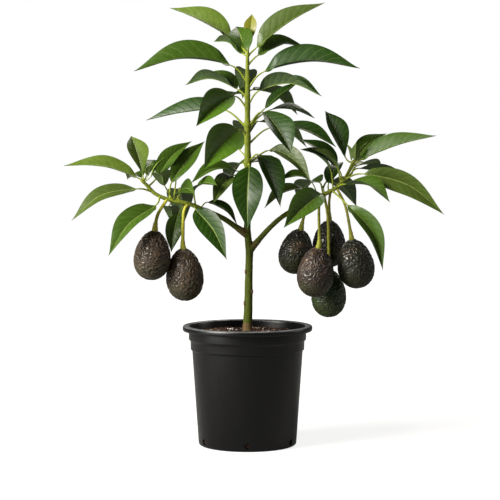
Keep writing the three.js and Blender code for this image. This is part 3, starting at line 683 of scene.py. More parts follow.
class Sheet:
    """A node tree with a short way to add and join nodes."""

    def __init__(self, tree):
        self.tree = tree

    def node(self, kind, inputs=None, **fields):
        """Adds a node, sets its fields, and sets or links its inputs."""
        node = self.tree.nodes.new(kind)
        for field, value in fields.items():
            setattr(node, field, value)
        for key, value in (inputs or {}).items():
            if isinstance(value, bpy.types.NodeSocket):
                self.join(value, node.inputs[key])
            else:
                node.inputs[key].default_value = value
        return node

    def join(self, output, target):
        """Links an output to an input."""
        self.tree.links.new(output, target)

    def math(self, operation, first, second=0.0, clamp=False):
        """A Math node's output."""
        node = self.node("ShaderNodeMath", {0: first, 1: second}, operation=operation, use_clamp=clamp)
        return node.outputs[0]

    def span(self, value, low, high, to_low=0.0, to_high=1.0, smooth=True):
        """A Map Range node's output."""
        kind = "SMOOTHSTEP" if smooth else "LINEAR"
        inputs = {"Value": value, "From Min": low, "From Max": high, "To Min": to_low, "To Max": to_high}
        return self.node("ShaderNodeMapRange", inputs, interpolation_type=kind).outputs["Result"]

    def mix(self, factor, first, second, blend="MIX"):
        """A colour Mix node's output."""
        inputs = {0: factor, 6: first, 7: second}
        return self.node("ShaderNodeMix", inputs, data_type="RGBA", blend_type=blend).outputs[2]

    def grey(self, value):
        """A grey of a value."""
        return self.node("ShaderNodeCombineColor", {0: value, 1: value, 2: value}).outputs[0]

    def coords(self):
        """Object coordinates."""
        return self.node("ShaderNodeTexCoord").outputs["Object"]

    def split(self, vector):
        """The parts of a vector."""
        return self.node("ShaderNodeSeparateXYZ", {0: vector}).outputs

    def cloud(self, coords, scale, detail, roughness=0.5):
        """A Noise Texture's value."""
        inputs = {"Vector": coords, "Scale": scale, "Detail": detail, "Roughness": roughness}
        return self.node("ShaderNodeTexNoise", inputs).outputs[0]

    def cells(self, coords, scale, feature="F1"):
        """A Voronoi Texture's distance."""
        inputs = {"Vector": coords, "Scale": scale}
        return self.node("ShaderNodeTexVoronoi", inputs, feature=feature).outputs["Distance"]

    def shared(self, name, inputs):
        """The outputs of one of this file's node groups, which is made on first use."""
        tree = bpy.data.node_groups.get(name) or GROUP_MAKERS[name]()
        return self.node("ShaderNodeGroup", inputs, node_tree=tree).outputs

    def bump(self, shader, height, strength, distance):
        """Feeds a height to the shader's normal."""
        inputs = {"Height": height, "Strength": strength, "Distance": distance}
        self.join(self.node("ShaderNodeBump", inputs).outputs[0], shader.inputs["Normal"])


def new_group(name, inputs, outputs):
    """A shader node group with named sockets; returns its sheet, input sockets and output node."""
    tree = bpy.data.node_groups.new(name, "ShaderNodeTree")
    for label, kind, default in inputs:
        socket = tree.interface.new_socket(label, in_out="INPUT", socket_type=kind)
        socket.default_value = default
    for label, kind in outputs:
        tree.interface.new_socket(label, in_out="OUTPUT", socket_type=kind)
    sheet = Sheet(tree)
    source = sheet.node("NodeGroupInput")
    sink = sheet.node("NodeGroupOutput")
    return sheet, source.outputs, sink


COLOUR, NUMBER = "NodeSocketColor", "NodeSocketFloat"


def rgba(colour):
    """A colour with full alpha."""
    return (colour[0], colour[1], colour[2], 1.0)


def leaf_group():
    """Side veins and mottling of a blade, from its own UV map."""
    sheet, given, sink = new_group(
        "Leaf Veins",
        [
            ("Colour", COLOUR, (0, 0, 0, 1)),
            ("Vein Colour", COLOUR, (1, 1, 1, 1)),
            ("Pairs", NUMBER, 10.0),
            ("Strength", NUMBER, 0.35),
        ],
        [("Colour", COLOUR), ("Height", NUMBER), ("Roughness", NUMBER)],
    )
    across, along = sheet.split(sheet.node("ShaderNodeUVMap", uv_map="blade").outputs[0])[:2]
    out = sheet.math("ABSOLUTE", sheet.math("SUBTRACT", sheet.math("MULTIPLY", across, 2.0), 1.0))
    bend = sheet.math("MULTIPLY", sheet.math("POWER", out, 0.8), 0.2)
    coords = sheet.coords()
    drift = sheet.math("MULTIPLY", sheet.cloud(coords, 45.0, 2.0), 0.05)
    run = sheet.math("ADD", sheet.math("SUBTRACT", along, bend), drift)
    phase = sheet.math("FRACT", sheet.math("MULTIPLY", run, given["Pairs"]))
    near = sheet.math("ABSOLUTE", sheet.math("SUBTRACT", phase, 0.5))
    vein = sheet.math("MULTIPLY", sheet.span(near, 0.0, 0.1, 1.0, 0.0), sheet.span(out, 0.75, 0.98, 1.0, 0.0))
    swell = sheet.math("SINE", sheet.math("MULTIPLY", phase, math.pi))
    cloud = sheet.cloud(coords, 110.0, 4.0)
    net = sheet.span(sheet.cells(coords, 420.0, "DISTANCE_TO_EDGE"), 0.0, 0.12, 1.0, 0.0)
    shade = sheet.grey(sheet.span(cloud, 0.3, 0.7, 0.92, 1.08))
    toned = sheet.mix(1.0, given["Colour"], shade, "MULTIPLY")
    mask = sheet.math("MULTIPLY", vein, given["Strength"])
    mask = sheet.math("ADD", mask, sheet.math("MULTIPLY", net, 0.05), clamp=True)
    height = sheet.math("SUBTRACT", sheet.math("MULTIPLY", vein, 0.2), swell)
    height = sheet.math("ADD", height, sheet.math("MULTIPLY", net, 0.02))
    sheet.join(sheet.mix(mask, toned, given["Vein Colour"]), sink.inputs["Colour"])
    sheet.join(height, sink.inputs["Height"])
    sheet.join(sheet.span(cloud, 0.3, 0.75, 0.0, 0.12), sink.inputs["Roughness"])
    return sheet.tree


def grain_group():
    """Two-scale mottling with a height, on Object coordinates."""
    sheet, given, sink = new_group(
        "Fine Grain",
        [
            ("Colour", COLOUR, (0, 0, 0, 1)),
            ("Fleck Colour", COLOUR, (1, 1, 1, 1)),
            ("Scale", NUMBER, 300.0),
            ("Stretch", NUMBER, 1.0),
            ("Flecks", NUMBER, 0.5),
        ],
        [("Colour", COLOUR), ("Height", NUMBER)],
    )
    scale = sheet.node("ShaderNodeCombineXYZ", {0: 1.0, 1: 1.0, 2: given["Stretch"]}).outputs[0]
    inputs = {0: sheet.coords(), 1: scale}
    stretched = sheet.node("ShaderNodeVectorMath", inputs, operation="MULTIPLY").outputs[0]
    broad = sheet.cloud(stretched, given["Scale"], 3.0, 0.6)
    fine = sheet.cloud(stretched, sheet.math("MULTIPLY", given["Scale"], 4.3), 3.0, 0.65)
    both = sheet.math("ADD", sheet.math("MULTIPLY", broad, 0.62), sheet.math("MULTIPLY", fine, 0.38))
    mask = sheet.math("MULTIPLY", sheet.span(both, 0.44, 0.62), given["Flecks"])
    sheet.join(sheet.mix(mask, given["Colour"], given["Fleck Colour"]), sink.inputs["Colour"])
    sheet.join(both, sink.inputs["Height"])
    return sheet.tree


def skin_group():
    """Pebbled skin: ridges painted paler as a painted highlight, furrows painted darker as painted shade,
    rusty patches and an olive lower end.
    """
    sheet, given, sink = new_group(
        "Pebbled Skin",
        [
            ("Colour", COLOUR, (0, 0, 0, 1)),
            ("Patches", COLOUR, (0, 0, 0, 1)),
            ("Lower End", COLOUR, (0, 0, 0, 1)),
            ("Ridges", COLOUR, (1, 1, 1, 1)),
            ("Furrows", COLOUR, (0, 0, 0, 1)),
            ("Relief", NUMBER, 1.0),
            ("Lowness", NUMBER, 0.0),
        ],
        [("Colour", COLOUR), ("Roughness", NUMBER), ("Height", NUMBER)],
    )
    coords = sheet.coords()
    relief = given["Relief"]
    patch = sheet.cloud(coords, 38.0, 3.0)
    toned = sheet.mix(sheet.span(patch, 0.56, 0.7), given["Colour"], given["Patches"])
    drift = sheet.math("MULTIPLY", sheet.math("SUBTRACT", patch, 0.5), 0.9)
    drift = sheet.math("ADD", given["Lowness"], drift)
    toned = sheet.mix(sheet.span(drift, 0.5, 0.85), toned, given["Lower End"])
    # Ridges get a lighter colour, a painted highlight; furrows get a darker one, painted shade.
    ridge = sheet.mix(sheet.span(relief, 0.5, 1.0, 0.0, 0.4), toned, given["Ridges"])
    dark = sheet.mix(sheet.span(relief, 0.03, 0.36, 0.85, 0.0), ridge, given["Furrows"])
    fine = sheet.math("MULTIPLY", sheet.cloud(coords, 650.0, 3.0), 0.5)
    pores = sheet.math("MULTIPLY", sheet.cells(coords, 340.0), 0.6)
    sheet.join(dark, sink.inputs["Colour"])
    sheet.join(sheet.span(relief, 0.2, 0.9, 0.9, 0.33), sink.inputs["Roughness"])
    sheet.join(sheet.math("SUBTRACT", fine, pores), sink.inputs["Height"])
    return sheet.tree


GROUP_MAKERS = {"Leaf Veins": leaf_group, "Fine Grain": grain_group, "Pebbled Skin": skin_group}


def new_material(name, roughness, specular):
    """A material with a Principled BSDF; returns it with its sheet and shader."""
    material = bpy.data.materials.new(name)
    material.use_nodes = True
    shader = material.node_tree.nodes["Principled BSDF"]
    shader.inputs["Roughness"].default_value = roughness
    shader.inputs["Specular IOR Level"].default_value = specular
    return material, Sheet(material.node_tree), shader


def grained(name, colour, fleck, roughness, scale=300.0, stretch=1.0, flecks=0.5, strength=0.4, depth=0.0004):
    """A mottled rough material."""
    material, sheet, shader = new_material(name, roughness, 0.2)
    inputs = {"Colour": rgba(colour), "Fleck Colour": rgba(fleck)}
    inputs |= {"Scale": scale, "Stretch": stretch, "Flecks": flecks}
    grain = sheet.shared("Fine Grain", inputs)
    sheet.join(grain["Colour"], shader.inputs["Base Color"])
    sheet.bump(shader, grain["Height"], strength, depth)
    return material


def shade_of(colour, factor):
    """A colour made lighter or darker."""
    return tuple(min(1.0, c * factor) for c in colour)


def blend_colour(first, second, share):
    """A colour between two."""
    return tuple(a + (b - a) * share for a, b in zip(first, second))


# ---------------------------------------------------------------------------
# Materials
# ---------------------------------------------------------------------------

TINTS = ("deep", "green", "olive", "leafy", "fresh", "young", "bud")
# The third colour is the light grey painted on the pot's lip top: partly wear, partly a painted highlight.
RUST, OLIVE_END, LIP_WEAR_AND_HIGHLIGHT = (0.07, 0.036, 0.01), (0.02, 0.023, 0.004), (0.11, 0.115, 0.12)


def blade_material(name, colour, vein, roughness, strength, bump, specular):
    """One side of a leaf blade."""
    material, sheet, shader = new_material(name, roughness, specular)
    inputs = {"Colour": rgba(colour), "Vein Colour": rgba(vein), "Strength": strength}
    veins = sheet.shared("Leaf Veins", inputs)
    sheet.join(veins["Colour"], shader.inputs["Base Color"])
    sheet.join(sheet.math("ADD", veins["Roughness"], roughness), shader.inputs["Roughness"])
    sheet.bump(shader, veins["Height"], bump, 0.0007)
    return material


def leaf_materials(settings):
    """Top sides by tint, then undersides by tint, then midribs by tint."""
    tops, unders, ribs = [], [], []
    for tint in TINTS:
        colour = getattr(settings, tint)
        rib = blend_colour(settings.rib, colour, 0.25)
        pale = blend_colour(settings.under, colour, 0.45)
        vein = blend_colour(colour, settings.rib, 0.6)
        darker = shade_of(rib, 0.85)
        shine = 0.14 if tint == "leafy" else 0.24
        name = f"leaf_{tint}"
        tops.append(blade_material(f"{name}_top", colour, vein, 0.33, 0.28, 0.18, shine))
        unders.append(blade_material(f"{name}_under", pale, shade_of(rib, 0.9), 0.55, 0.5, 0.35, 0.12))
        ribs.append(grained(f"{name}_rib", rib, darker, 0.42, 500.0, flecks=0.4, strength=0.1, depth=0.0002))
    return tops + unders + ribs


FORK_SPOTS = ((-0.01, -0.003, 0.387), (0.013, 0.0, 0.359))
FORK_REACH = 0.014


def bark_material(settings):
    """Green young bark, brown at the foot and round the forks."""
    material, sheet, shader = new_material("young_bark", 0.58, 0.1)
    green, brown = settings.bark, settings.old_bark
    coords = sheet.coords()
    aside, _, height = sheet.split(coords)
    wander = sheet.math("MULTIPLY", sheet.math("SUBTRACT", sheet.cloud(coords, 70.0, 4.0), 0.5), 0.03)
    place = sheet.math("ADD", height, wander)
    outer = sheet.span(sheet.math("ABSOLUTE", aside), 0.03, 0.12)
    young = sheet.math("MAXIMUM", sheet.span(place, 0.34, 0.6), outer)
    base = sheet.mix(young, rgba(green), rgba(blend_colour(green, settings.stalk, 0.55)))
    mask = sheet.span(place, 0.221, 0.228, 0.9, 0.0)
    for spot in FORK_SPOTS:
        away = sheet.node("ShaderNodeVectorMath", {0: coords, 1: spot}, operation="DISTANCE").outputs["Value"]
        ragged = sheet.math("ADD", away, sheet.math("MULTIPLY", wander, 0.5))
        mask = sheet.math("MAXIMUM", mask, sheet.span(ragged, FORK_REACH * 0.35, FORK_REACH, 0.7, 0.0))
    colour = sheet.mix(mask, base, rgba(brown))
    dark = sheet.mix(0.72, colour, rgba(shade_of(brown, 0.35)))
    inputs = {"Colour": colour, "Fleck Colour": dark, "Scale": 260.0, "Stretch": 0.3, "Flecks": 0.55}
    grain = sheet.shared("Fine Grain", inputs)
    sheet.join(grain["Colour"], shader.inputs["Base Color"])
    sheet.bump(shader, grain["Height"], 0.6, 0.0009)
    return material


def skin_material(name, colour, shine):
    """Pebbled fruit skin; its relief and its lower end come from the mesh."""
    material, sheet, shader = new_material(name, 0.4, shine)
    # Ridges are painted paler as a painted highlight, and furrows darker as painted shade.
    inputs = {
        "Colour": rgba(colour),
        "Patches": rgba(blend_colour(colour, RUST, 0.4)),
        "Lower End": rgba(blend_colour(colour, OLIVE_END, 0.75)),
        "Ridges": rgba(shade_of(colour, 2.6)),
        "Furrows": rgba(shade_of(colour, 0.2)),
    }
    for socket, attribute in (("Relief", "furrow"), ("Lowness", "low")):
        inputs[socket] = sheet.node("ShaderNodeAttribute", attribute_name=attribute).outputs["Fac"]
    skin = sheet.shared("Pebbled Skin", inputs)
    sheet.join(skin["Colour"], shader.inputs["Base Color"])
    sheet.join(skin["Roughness"], shader.inputs["Roughness"])
    sheet.bump(shader, skin["Height"], 0.15, 0.0005)
    return material


def plastic_material(settings):
    """Satin black plastic, faintly streaked, with a lip top painted lighter: partly wear, partly a painted
    highlight.
    """
    material, sheet, shader = new_material("black_plastic", 0.4, 0.32)
    coords = sheet.coords()
    inputs = {"Colour": rgba(settings.plastic), "Fleck Colour": rgba(shade_of(settings.plastic, 1.9))}
    grain = sheet.shared("Fine Grain", inputs | {"Scale": 46.0, "Stretch": 0.25})
    sheet.join(sheet.span(grain["Height"], 0.35, 0.7, 0.3, 0.36), shader.inputs["Roughness"])
    # The lip's top face is painted lighter: partly wear, partly a painted highlight.
    lip = sheet.span(sheet.split(coords)[2], 0.2135, 0.2158)
    lip_wear_and_highlight = sheet.math("MULTIPLY", lip, sheet.span(grain["Height"], 0.3, 0.62, 0.35, 1.0))
    sheet.join(sheet.mix(lip_wear_and_highlight, grain["Colour"], rgba(LIP_WEAR_AND_HIGHLIGHT)), shader.inputs["Base Color"])
    sheet.bump(shader, sheet.cloud(coords, 900.0, 2.0), 0.1, 0.0003)
    return material


# ---------------------------------------------------------------------------
# Operators
# ---------------------------------------------------------------------------


LEAST_POT_FACES, LEAST_WOOD_POINTS = 2000, 5000


class AVOCADO_OT_pot(bpy.types.Operator):
    """Turns the nursery pot with its rolled lip, two bands and drain holes."""

    bl_idname = "avocado.pot"
    bl_label = "Pot"

    def execute(self, context):
        settings = context.scene.avocado_pot
        body = mesh_of(spin_profile(POT_OUTLINE, settings.steps), "pot_blank")
        bores = bmesh.new()
        lie = Matrix.Translation((DRAIN_REACH, 0, DRAIN_HEIGHT)) @ Matrix.Rotation(math.pi / 2, 4, "Y")
        size = {"segments": 28, "radius1": DRAIN_RADIUS, "radius2": DRAIN_RADIUS, "depth": DRAIN_DEPTH}
        for i in range(DRAIN_HOLES):
            turn = Matrix.Rotation(2 * math.pi * (i + 0.5) / DRAIN_HOLES, 4, "Z")
            bmesh.ops.create_cone(bores, cap_ends=True, matrix=turn @ lie, **size)
        cutter = bpy.data.objects.new("bores", mesh_of(bores, "bores"))
        context.scene.collection.objects.link(cutter)

        def settle(helper):
            cut = helper.modifiers.new("drain", "BOOLEAN")
            cut.operation = "DIFFERENCE"
            cut.solver = "EXACT"
            cut.object = cutter

        mesh = applied(body, "nursery_pot", settle)
        bpy.data.objects.remove(cutter)
        if len(mesh.polygons) < LEAST_POT_FACES:
            raise RuntimeError("the pot came out empty")
        link_piece("nursery_pot", mesh, ["pot"], [plastic_material(settings)])
        sharpen(mesh, 40)
        return {"FINISHED"}


def sharpen(mesh, degrees):
    """Keeps edges sharper than an angle crisp on a smooth mesh."""
    mesh.set_sharp_from_angle(angle=math.radians(degrees))


def mix_height(x, y):
    """Height of the mix's surface: a shallow dish with a rough face."""
    slope = max(0.0, math.hypot(x, y) - MIX_FLAT) / MIX_SPREAD
    rough = noise.noise(Vector((x, y, 0.3)) * 90) * 0.0011 + noise.noise(Vector((x, y, 1.7)) * 260) * 0.0005
    return MIX_TOP - MIX_DISH * slope * slope + rough


def scattered(draw, count, reach, clear):
    """Random places on the mix within a reach, clear of the trunk."""
    for _ in range(count):
        away, turn = reach * math.sqrt(draw.random()), draw.uniform(0, 2 * math.pi)
        x, y = away * math.cos(turn), away * math.sin(turn)
        if math.hypot(x, y) >= clear:
            yield x, y


def chip_rings(draw, x, y):
    """Four rings of a crooked five-sided chip that lies on the mix."""
    long, broad, thick = (draw.uniform(*ends) * MM for ends in CHIP_SIZES)
    spot = Matrix.Translation((x, y, mix_height(x, y) + 0.4 * MM))
    tilt = Matrix.Rotation(draw.uniform(-0.55, 0.55), 4, "Y")
    tilt = tilt @ Matrix.Rotation(draw.uniform(-0.5, 0.5), 4, "X")
    place = spot @ Matrix.Rotation(draw.uniform(0, 6.28), 4, "Z") @ tilt
    rings = []
    for along, girth in CHIP_GIRTHS:
        swell = girth * draw.uniform(0.8, 1.15)
        ring = []
        for corner in range(5):
            angle = 2 * math.pi * corner / 5 + 0.3
            across = math.cos(angle) * broad * swell * draw.uniform(0.8, 1.1)
            ring.append(place @ Vector((along * long, across, math.sin(angle) * thick * swell)))
        rings.append(ring)
    return rings


class AVOCADO_OT_mix(bpy.types.Operator):
    """Fills the pot with bark mix: a dark bed, loose chips and a few pale grains."""

    bl_idname = "avocado.mix"
    bl_label = "Potting Mix"

    def execute(self, context):
        settings = context.scene.avocado_pot
        bm = spin_profile(MIX_OUTLINE + [(radius, MIX_LEVEL) for radius in MIX_RINGS], 120)
        for vert in bm.verts:
            if vert.co.z > (MIX_LEVEL - 0.5) * MM:
                vert.co.z = mix_height(vert.co.x, vert.co.y)
        pale = shade_of(settings.humus, 2.2)
        dark = grained("humus", settings.humus, pale, 0.95, 420.0, flecks=0.7, strength=0.9, depth=0.001)
        link_piece("mix_bed", mesh_of(bm, "mix_bed"), ["potting_mix"], [dark])

        draw = random.Random(MIX_SEED)
        pile = Pile()
        for x, y in scattered(draw, settings.chips, CHIP_REACH, CHIP_CLEAR):
            pile.add_rings(chip_rings(draw, x, y), draw.choice((0, 0, 0, 1, 1, 2)))
        kinds = [
            grained("chip_dark", (0.016, 0.009, 0.006), (0.045, 0.022, 0.013), 0.9, 500.0, depth=0.0008),
            grained("chip_red", (0.06, 0.023, 0.013), (0.02, 0.009, 0.006), 0.88, 500.0, depth=0.0008),
            grained("chip_tan", (0.12, 0.065, 0.034), (0.06, 0.03, 0.015), 0.9, 500.0, depth=0.0008),
        ]
        link_piece("bark_chips", pile.mesh("bark_chips"), ["potting_mix"], kinds, smooth=False)

        grains = bmesh.new()
        for x, y in scattered(draw, GRAINS, GRAIN_REACH, GRAIN_CLEAR):
            centre = Vector((x, y, mix_height(x, y) + 0.7 * MM))
            size = {"radius": draw.uniform(*GRAIN_SIZES) * MM, "matrix": Matrix.Translation(centre)}
            made = bmesh.ops.create_icosphere(grains, subdivisions=2, **size)
            for vert in made["verts"]:
                vert.co += (vert.co - centre) * (0.45 * noise.noise(vert.co * 900))
        pale = grained("perlite", (0.62, 0.6, 0.55), (0.4, 0.37, 0.32), 0.9, 700.0)
        link_piece("perlite", mesh_of(grains, "perlite"), ["potting_mix"], [pale])
        return {"FINISHED"}


WRINKLED_SPOTS = [Vector((-0.008, -0.003, 0.386)), Vector((0.011, 0, 0.357))]
WRINKLE_REACH, OLD_FOOT, LEADER_REACH = 18 * MM, 30 * MM, 11 * MM
NODE_RISE, NODE_REACH, NODE_SWELL = 4 * MM, 4.5 * MM, 0.7 * MM


def bark_relief(co, nodes):
    """How far the bark stands out at a point: lumps, wrinkled forks, a rough foot and swollen nodes."""
    lumps = noise.noise(co * 70) * 0.0003 + noise.noise(Vector((co.x, co.y, co.z * 0.35)) * 420) * 0.00014
    wrinkle = max(0.0, 1 - min((co - fork).length for fork in WRINKLED_SPOTS) / WRINKLE_REACH)
    lumps += wrinkle * (0.0007 * math.sin(co.z * 2600 + 3 * noise.noise(co * 260)) + 0.0006)
    old = max(0.0, 1 - (co.z - TRUNK_COURSE[0][0] * MM) / OLD_FOOT)
    lumps += old * 0.0009 * noise.noise(Vector((co.x * 300, co.y * 300, co.z * 90)))
    if abs(co.x) < LEADER_REACH and abs(co.y) < LEADER_REACH:
        for height in nodes:
            away = (co.z - height - NODE_RISE) / NODE_REACH
            lumps += NODE_SWELL * math.exp(-away * away)
    return lumps


class AVOCADO_OT_wood(bpy.types.Operator):
    """Fuses trunk and boughs on a fine grid and works the bark's relief into them."""

    bl_idname = "avocado.wood"
    bl_label = "Trunk and Boughs"

    def execute(self, context):
        settings = context.scene.avocado_tree
        bm = bmesh.new()
        extrude_limb(bm, *TRUNK, steps=120, sides=40)
        extrude_limb(bm, *LIMBS["left"], steps=60, sides=28)
        extrude_limb(bm, *LIMBS["right"], steps=64, sides=28)
        points, radii = LIMBS["top"]
        extrude_limb(bm, [points[0] - Vector((0, 0, 4 * MM)), *points[1:]], radii, steps=20, sides=24)

        def settle(helper):
            fuse = helper.modifiers.new("fuse", "REMESH")
            fuse.mode = "VOXEL"
            fuse.voxel_size = settings.voxel
            ease = helper.modifiers.new("ease", "SMOOTH")
            ease.factor = 0.5
            ease.iterations = 6

        mesh = applied(mesh_of(bm, "wood_blank"), "trunk_and_boughs", settle)
        if len(mesh.vertices) < LEAST_WOOD_POINTS:
            raise RuntimeError("trunk and boughs weren't fused")
        nodes = [plan["at"] * MM for leaves in LEADER_LEAVES.values() for plan in leaves]
        relief = bmesh.new()
        relief.from_mesh(mesh)
        for vert in relief.verts:
            vert.co += vert.normal * bark_relief(vert.co, nodes)
        relief.to_mesh(mesh)
        relief.free()
        replaced = ["trunk", "bough_left", "bough_right"]
        link_piece("trunk_and_boughs", mesh, replaced, [bark_material(settings)])

        scars = bmesh.new()
        for height, bearing in LEAF_SCARS:
            face = heading(bearing, 0)
            middle, radius = trunk_section(height)
            turn = face.to_track_quat("X", "Z").to_matrix().to_4x4()
            place = Matrix.Translation(middle + face * (radius + 0.1 * MM)) @ turn
            for k, (wide, tall, proud) in enumerate(SCAR_SHAPES):
                shape = place @ Matrix.Diagonal((proud * MM, wide * MM, tall * MM, 1))
                made = bmesh.ops.create_uvsphere(scars, u_segments=20, v_segments=12, radius=1, matrix=shape)
                for scar_face in {f for v in made["verts"] for f in v.link_faces}:
                    scar_face.material_index = k
        rim = grained("scar_rim", (0.085, 0.05, 0.025), (0.04, 0.022, 0.012), 0.8, 600.0)
        heart = grained("scar_heart", (0.42, 0.25, 0.16), (0.25, 0.13, 0.08), 0.75, 700.0)
        link_piece("leaf_scars", mesh_of(scars, "leaf_scars"), ["trunk"], [rim, heart])
        return {"FINISHED"}


BLADE_STEPS = 36
MIDRIB_FACES = (5, 6)
STALK_END = 0.38
BLADE_COLUMNS = (-1, -0.84, -0.64, -0.42, -0.2, -0.05, 0, 0.05, 0.2, 0.42, 0.64, 0.84, 1)


def add_blade(pile, plan, thickness, wave, numbers):
    """One leaf blade: folded along its midrib, with waved margins and a raised rib below."""
    points, side, length = midrib(plan)
    widest = length * plan["wide"] / 2
    finish = TINTS.index(plan["tint"])
    turns, lag, twist = 1.2 + 1.4 * next(numbers), 6.28 * next(numbers), 0.12 * (next(numbers) - 0.5)
    bow = 0.02 * (next(numbers) - 0.5)
    rings, places = [], []
    count = len(BLADE_COLUMNS)
    for i in range(BLADE_STEPS + 1):
        share = 0.5 - 0.5 * math.cos(math.pi * i / BLADE_STEPS)
        share = 0.4 * share + 0.6 * i / BLADE_STEPS
        roll = plan["roll"] + twist * (share - 0.4)
        point, across, upper, _ = blade_frame(points, side, (1 + 2 * share) / 3, roll)
        point = point + across * (bow * length * math.sin(math.pi * share) * share)
        half = max(widest * blade_width(share, plan["belly"]), 0.0011 * (1 - share) + 0.00025)
        fold = plan["fold"] * min(1.0, share / 0.15)
        rib = 0.0009 * (1 - share) ** 1.2 + 0.0002
        top, bottom, uvs = [], [], []
        for column in BLADE_COLUMNS:
            out = abs(column)
            lift = half * math.sin(fold) * (1.4 * out - 0.4 * out * out)
            phase = lag if column > 0 else lag + 1.9
            flutter = math.sin(2 * math.pi * turns * share + phase) * out ** 1.6
            lift += wave * length * flutter * math.sin(math.pi * min(1.0, share * 1.05)) ** 0.5
            if column == 0:
                lift -= min(0.00012, half * 0.02)
            spot = point + across * (column * half * math.cos(fold)) + upper * lift
            keel = rib if column == 0 else 0.35 * rib if out < 0.1 else 0
            deep = thickness * (1 - 0.6 * out * share) + keel
            top.append(spot + upper * (0.35 * thickness))
            bottom.append(spot - upper * (0.65 * deep))
            uvs.append((0.5 + 0.5 * column, share))
        rings.append(bottom[::-1] + top)
        places.append(uvs[::-1] + uvs)

    def dealt(edge):
        if edge % count in MIDRIB_FACES:
            return finish + 2 * len(TINTS)
        return finish + (0 if edge >= count else len(TINTS))

    pile.add_rings(rings, dealt, places)


class AVOCADO_OT_leaves(bpy.types.Operator):
    """Grows the leaves of every mass by the plan, with their stalks and green twigs."""

    bl_idname = "avocado.leaves"
    bl_label = "Leaves and Twigs"

    def execute(self, context):
        settings = context.scene.avocado_tree
        blades = leaf_materials(settings)
        green = grained("leaf_stalk", settings.stalk, shade_of(settings.stalk, 0.62), 0.42, 380.0, 0.35, 0.6)
        sprout = grained("bud_scale", settings.bud, settings.young, 0.45, 600.0)
        for place, (name, mass) in enumerate(plan_crown().items()):
            if not mass["leaves"]:
                raise RuntimeError(f"{name} grew no leaf")
            numbers = seeded(101 + place)
            leaves, twigs = Pile(), Pile()
            for plan in mass["leaves"]:
                add_blade(leaves, plan, settings.blade, settings.wave, numbers)
                points, _, length = midrib(plan)
                stout = min(1.0, length / 0.09)
                radii = [size * MM * stout for size in (2.4, 1.8, 1.6, 1.4)]
                twigs.add_rings(tube_rings(points, [*radii, 0.5 * MM], 14, 9, STALK_END), 0)
            for foot, end in mass["shoots"]:
                radii = [SHOOT_RADIUS + 0.8 * MM, SHOOT_RADIUS - 0.8 * MM, 0.6 * MM]
                tip = end + (end - foot).normalized() * (6 * MM)
                twigs.add_rings(tube_rings([foot, end, tip], radii, 16, 12), 0)
            if name in ("foliage_left", "foliage_right"):
                points, radii = LIMBS[name.split("_")[1]]
                end, along = spline(points, 1.0)
                course = [end - along * (2 * MM), end + along * (4 * MM), end + along * (10 * MM)]
                twigs.add_rings(tube_rings(course, [2.6 * MM, 3.0 * MM, 0.4 * MM], 10, 12), 1)
            mesh = leaves.mesh("blades")
            link_piece(name.replace("foliage", "leaves"), mesh, [name], blades)
            sharpen(mesh, 35)
            mesh = twigs.mesh("stalks")
            link_piece(name.replace("foliage", "twigs"), mesh, [name], [green, sprout])
        return {"FINISHED"}


SKIN_SHINE = {"brown": 0.5, "plum": 0.4, "black": 0.4, "green": 0.4}
FRUIT_RINGS, FRUIT_STEPS, STALK_RINGS = 140, 200, 60


def furrow_depth(point):
    """From 0 in a furrow to 1 on a ridge: short winding ridges along the contours of a drifting field."""
    drift = noise.noise(point * 62) * 3.4
    field = drift + point.z * 90 + noise.noise(point * 170 + Vector((3, 8, 1))) * 0.65
    ridge = 0.5 + 0.5 * math.sin(2 * math.pi * field)
    breaks = noise.noise(point * 240 + Vector((4, 9, 2)))
    return max(0.0, min(1.0, ridge * (0.95 + 0.7 * breaks) + 0.08))


class AVOCADO_OT_fruit(bpy.types.Operator):
    """Turns each fruit and presses the pebbled skin into it."""

    bl_idname = "avocado.fruit"
    bl_label = "Fruit"

    def execute(self, context):
        settings = context.scene.avocado_fruit
        skins = {
            kind: skin_material(f"skin_{kind}", getattr(settings, kind), shine)
            for kind, shine in SKIN_SHINE.items()
        }
        for number, (_, _, _, centre, length, radius, lean, kind, _) in enumerate(FRUITS, 1):
            profile = []
            for i in range(FRUIT_RINGS + 1):
                turn = math.pi * i / FRUIT_RINGS
                height = -math.cos(turn)
                out = 0.0 if i in (0, FRUIT_RINGS) else radius * math.sin(turn) * (1 - FRUIT_TAPER * height)
                profile.append((out, height * length / 2))
            bm = spin_profile(profile, FRUIT_STEPS)
            place = Matrix.Translation(Vector(centre) * MM) @ Matrix.Rotation(math.radians(lean), 4, "Y")
            bmesh.ops.transform(bm, matrix=place, verts=bm.verts)
            bm.normal_update()
            bmesh.ops.recalc_face_normals(bm, faces=bm.faces)
            layer, low = bm.verts.layers.float.new("furrow"), bm.verts.layers.float.new("low")
            foot = (centre[2] - length / 2) * MM
            for vert in bm.verts:
                vert[low] = 1 - (vert.co.z - foot) / (length * MM)
                vert[layer] = furrow_depth(vert.co + Vector((number * 0.31, 0, 0)))
                vert.co -= vert.normal * (settings.pebble * (1 - 0.6 * vert[low]) * (1 - vert[layer]))
            mesh = mesh_of(bm, "avocado")
            link_piece(f"avocado_{number}", mesh, [f"fruit_{number}"], [skins[kind]])
        return {"FINISHED"}


def stalk_radius(along, number, kind):
    """Radius of a fruit's stalk at a share of its length: knobbed, ringed, and flared towards the fruit."""
    size = (2.9 if kind == "yellow" else 2.4) + 0.9 * max(0.0, along - 0.33)
    size += 2.9 * max(0.0, (along - 0.62) / 0.38) ** 0.9
    size += 0.28 * noise.noise(Vector((along * 23, number * 5.1, 0)))
    size += 0.5 * math.exp(-(((along - 0.7) / 0.012) ** 2))
    return size * MM


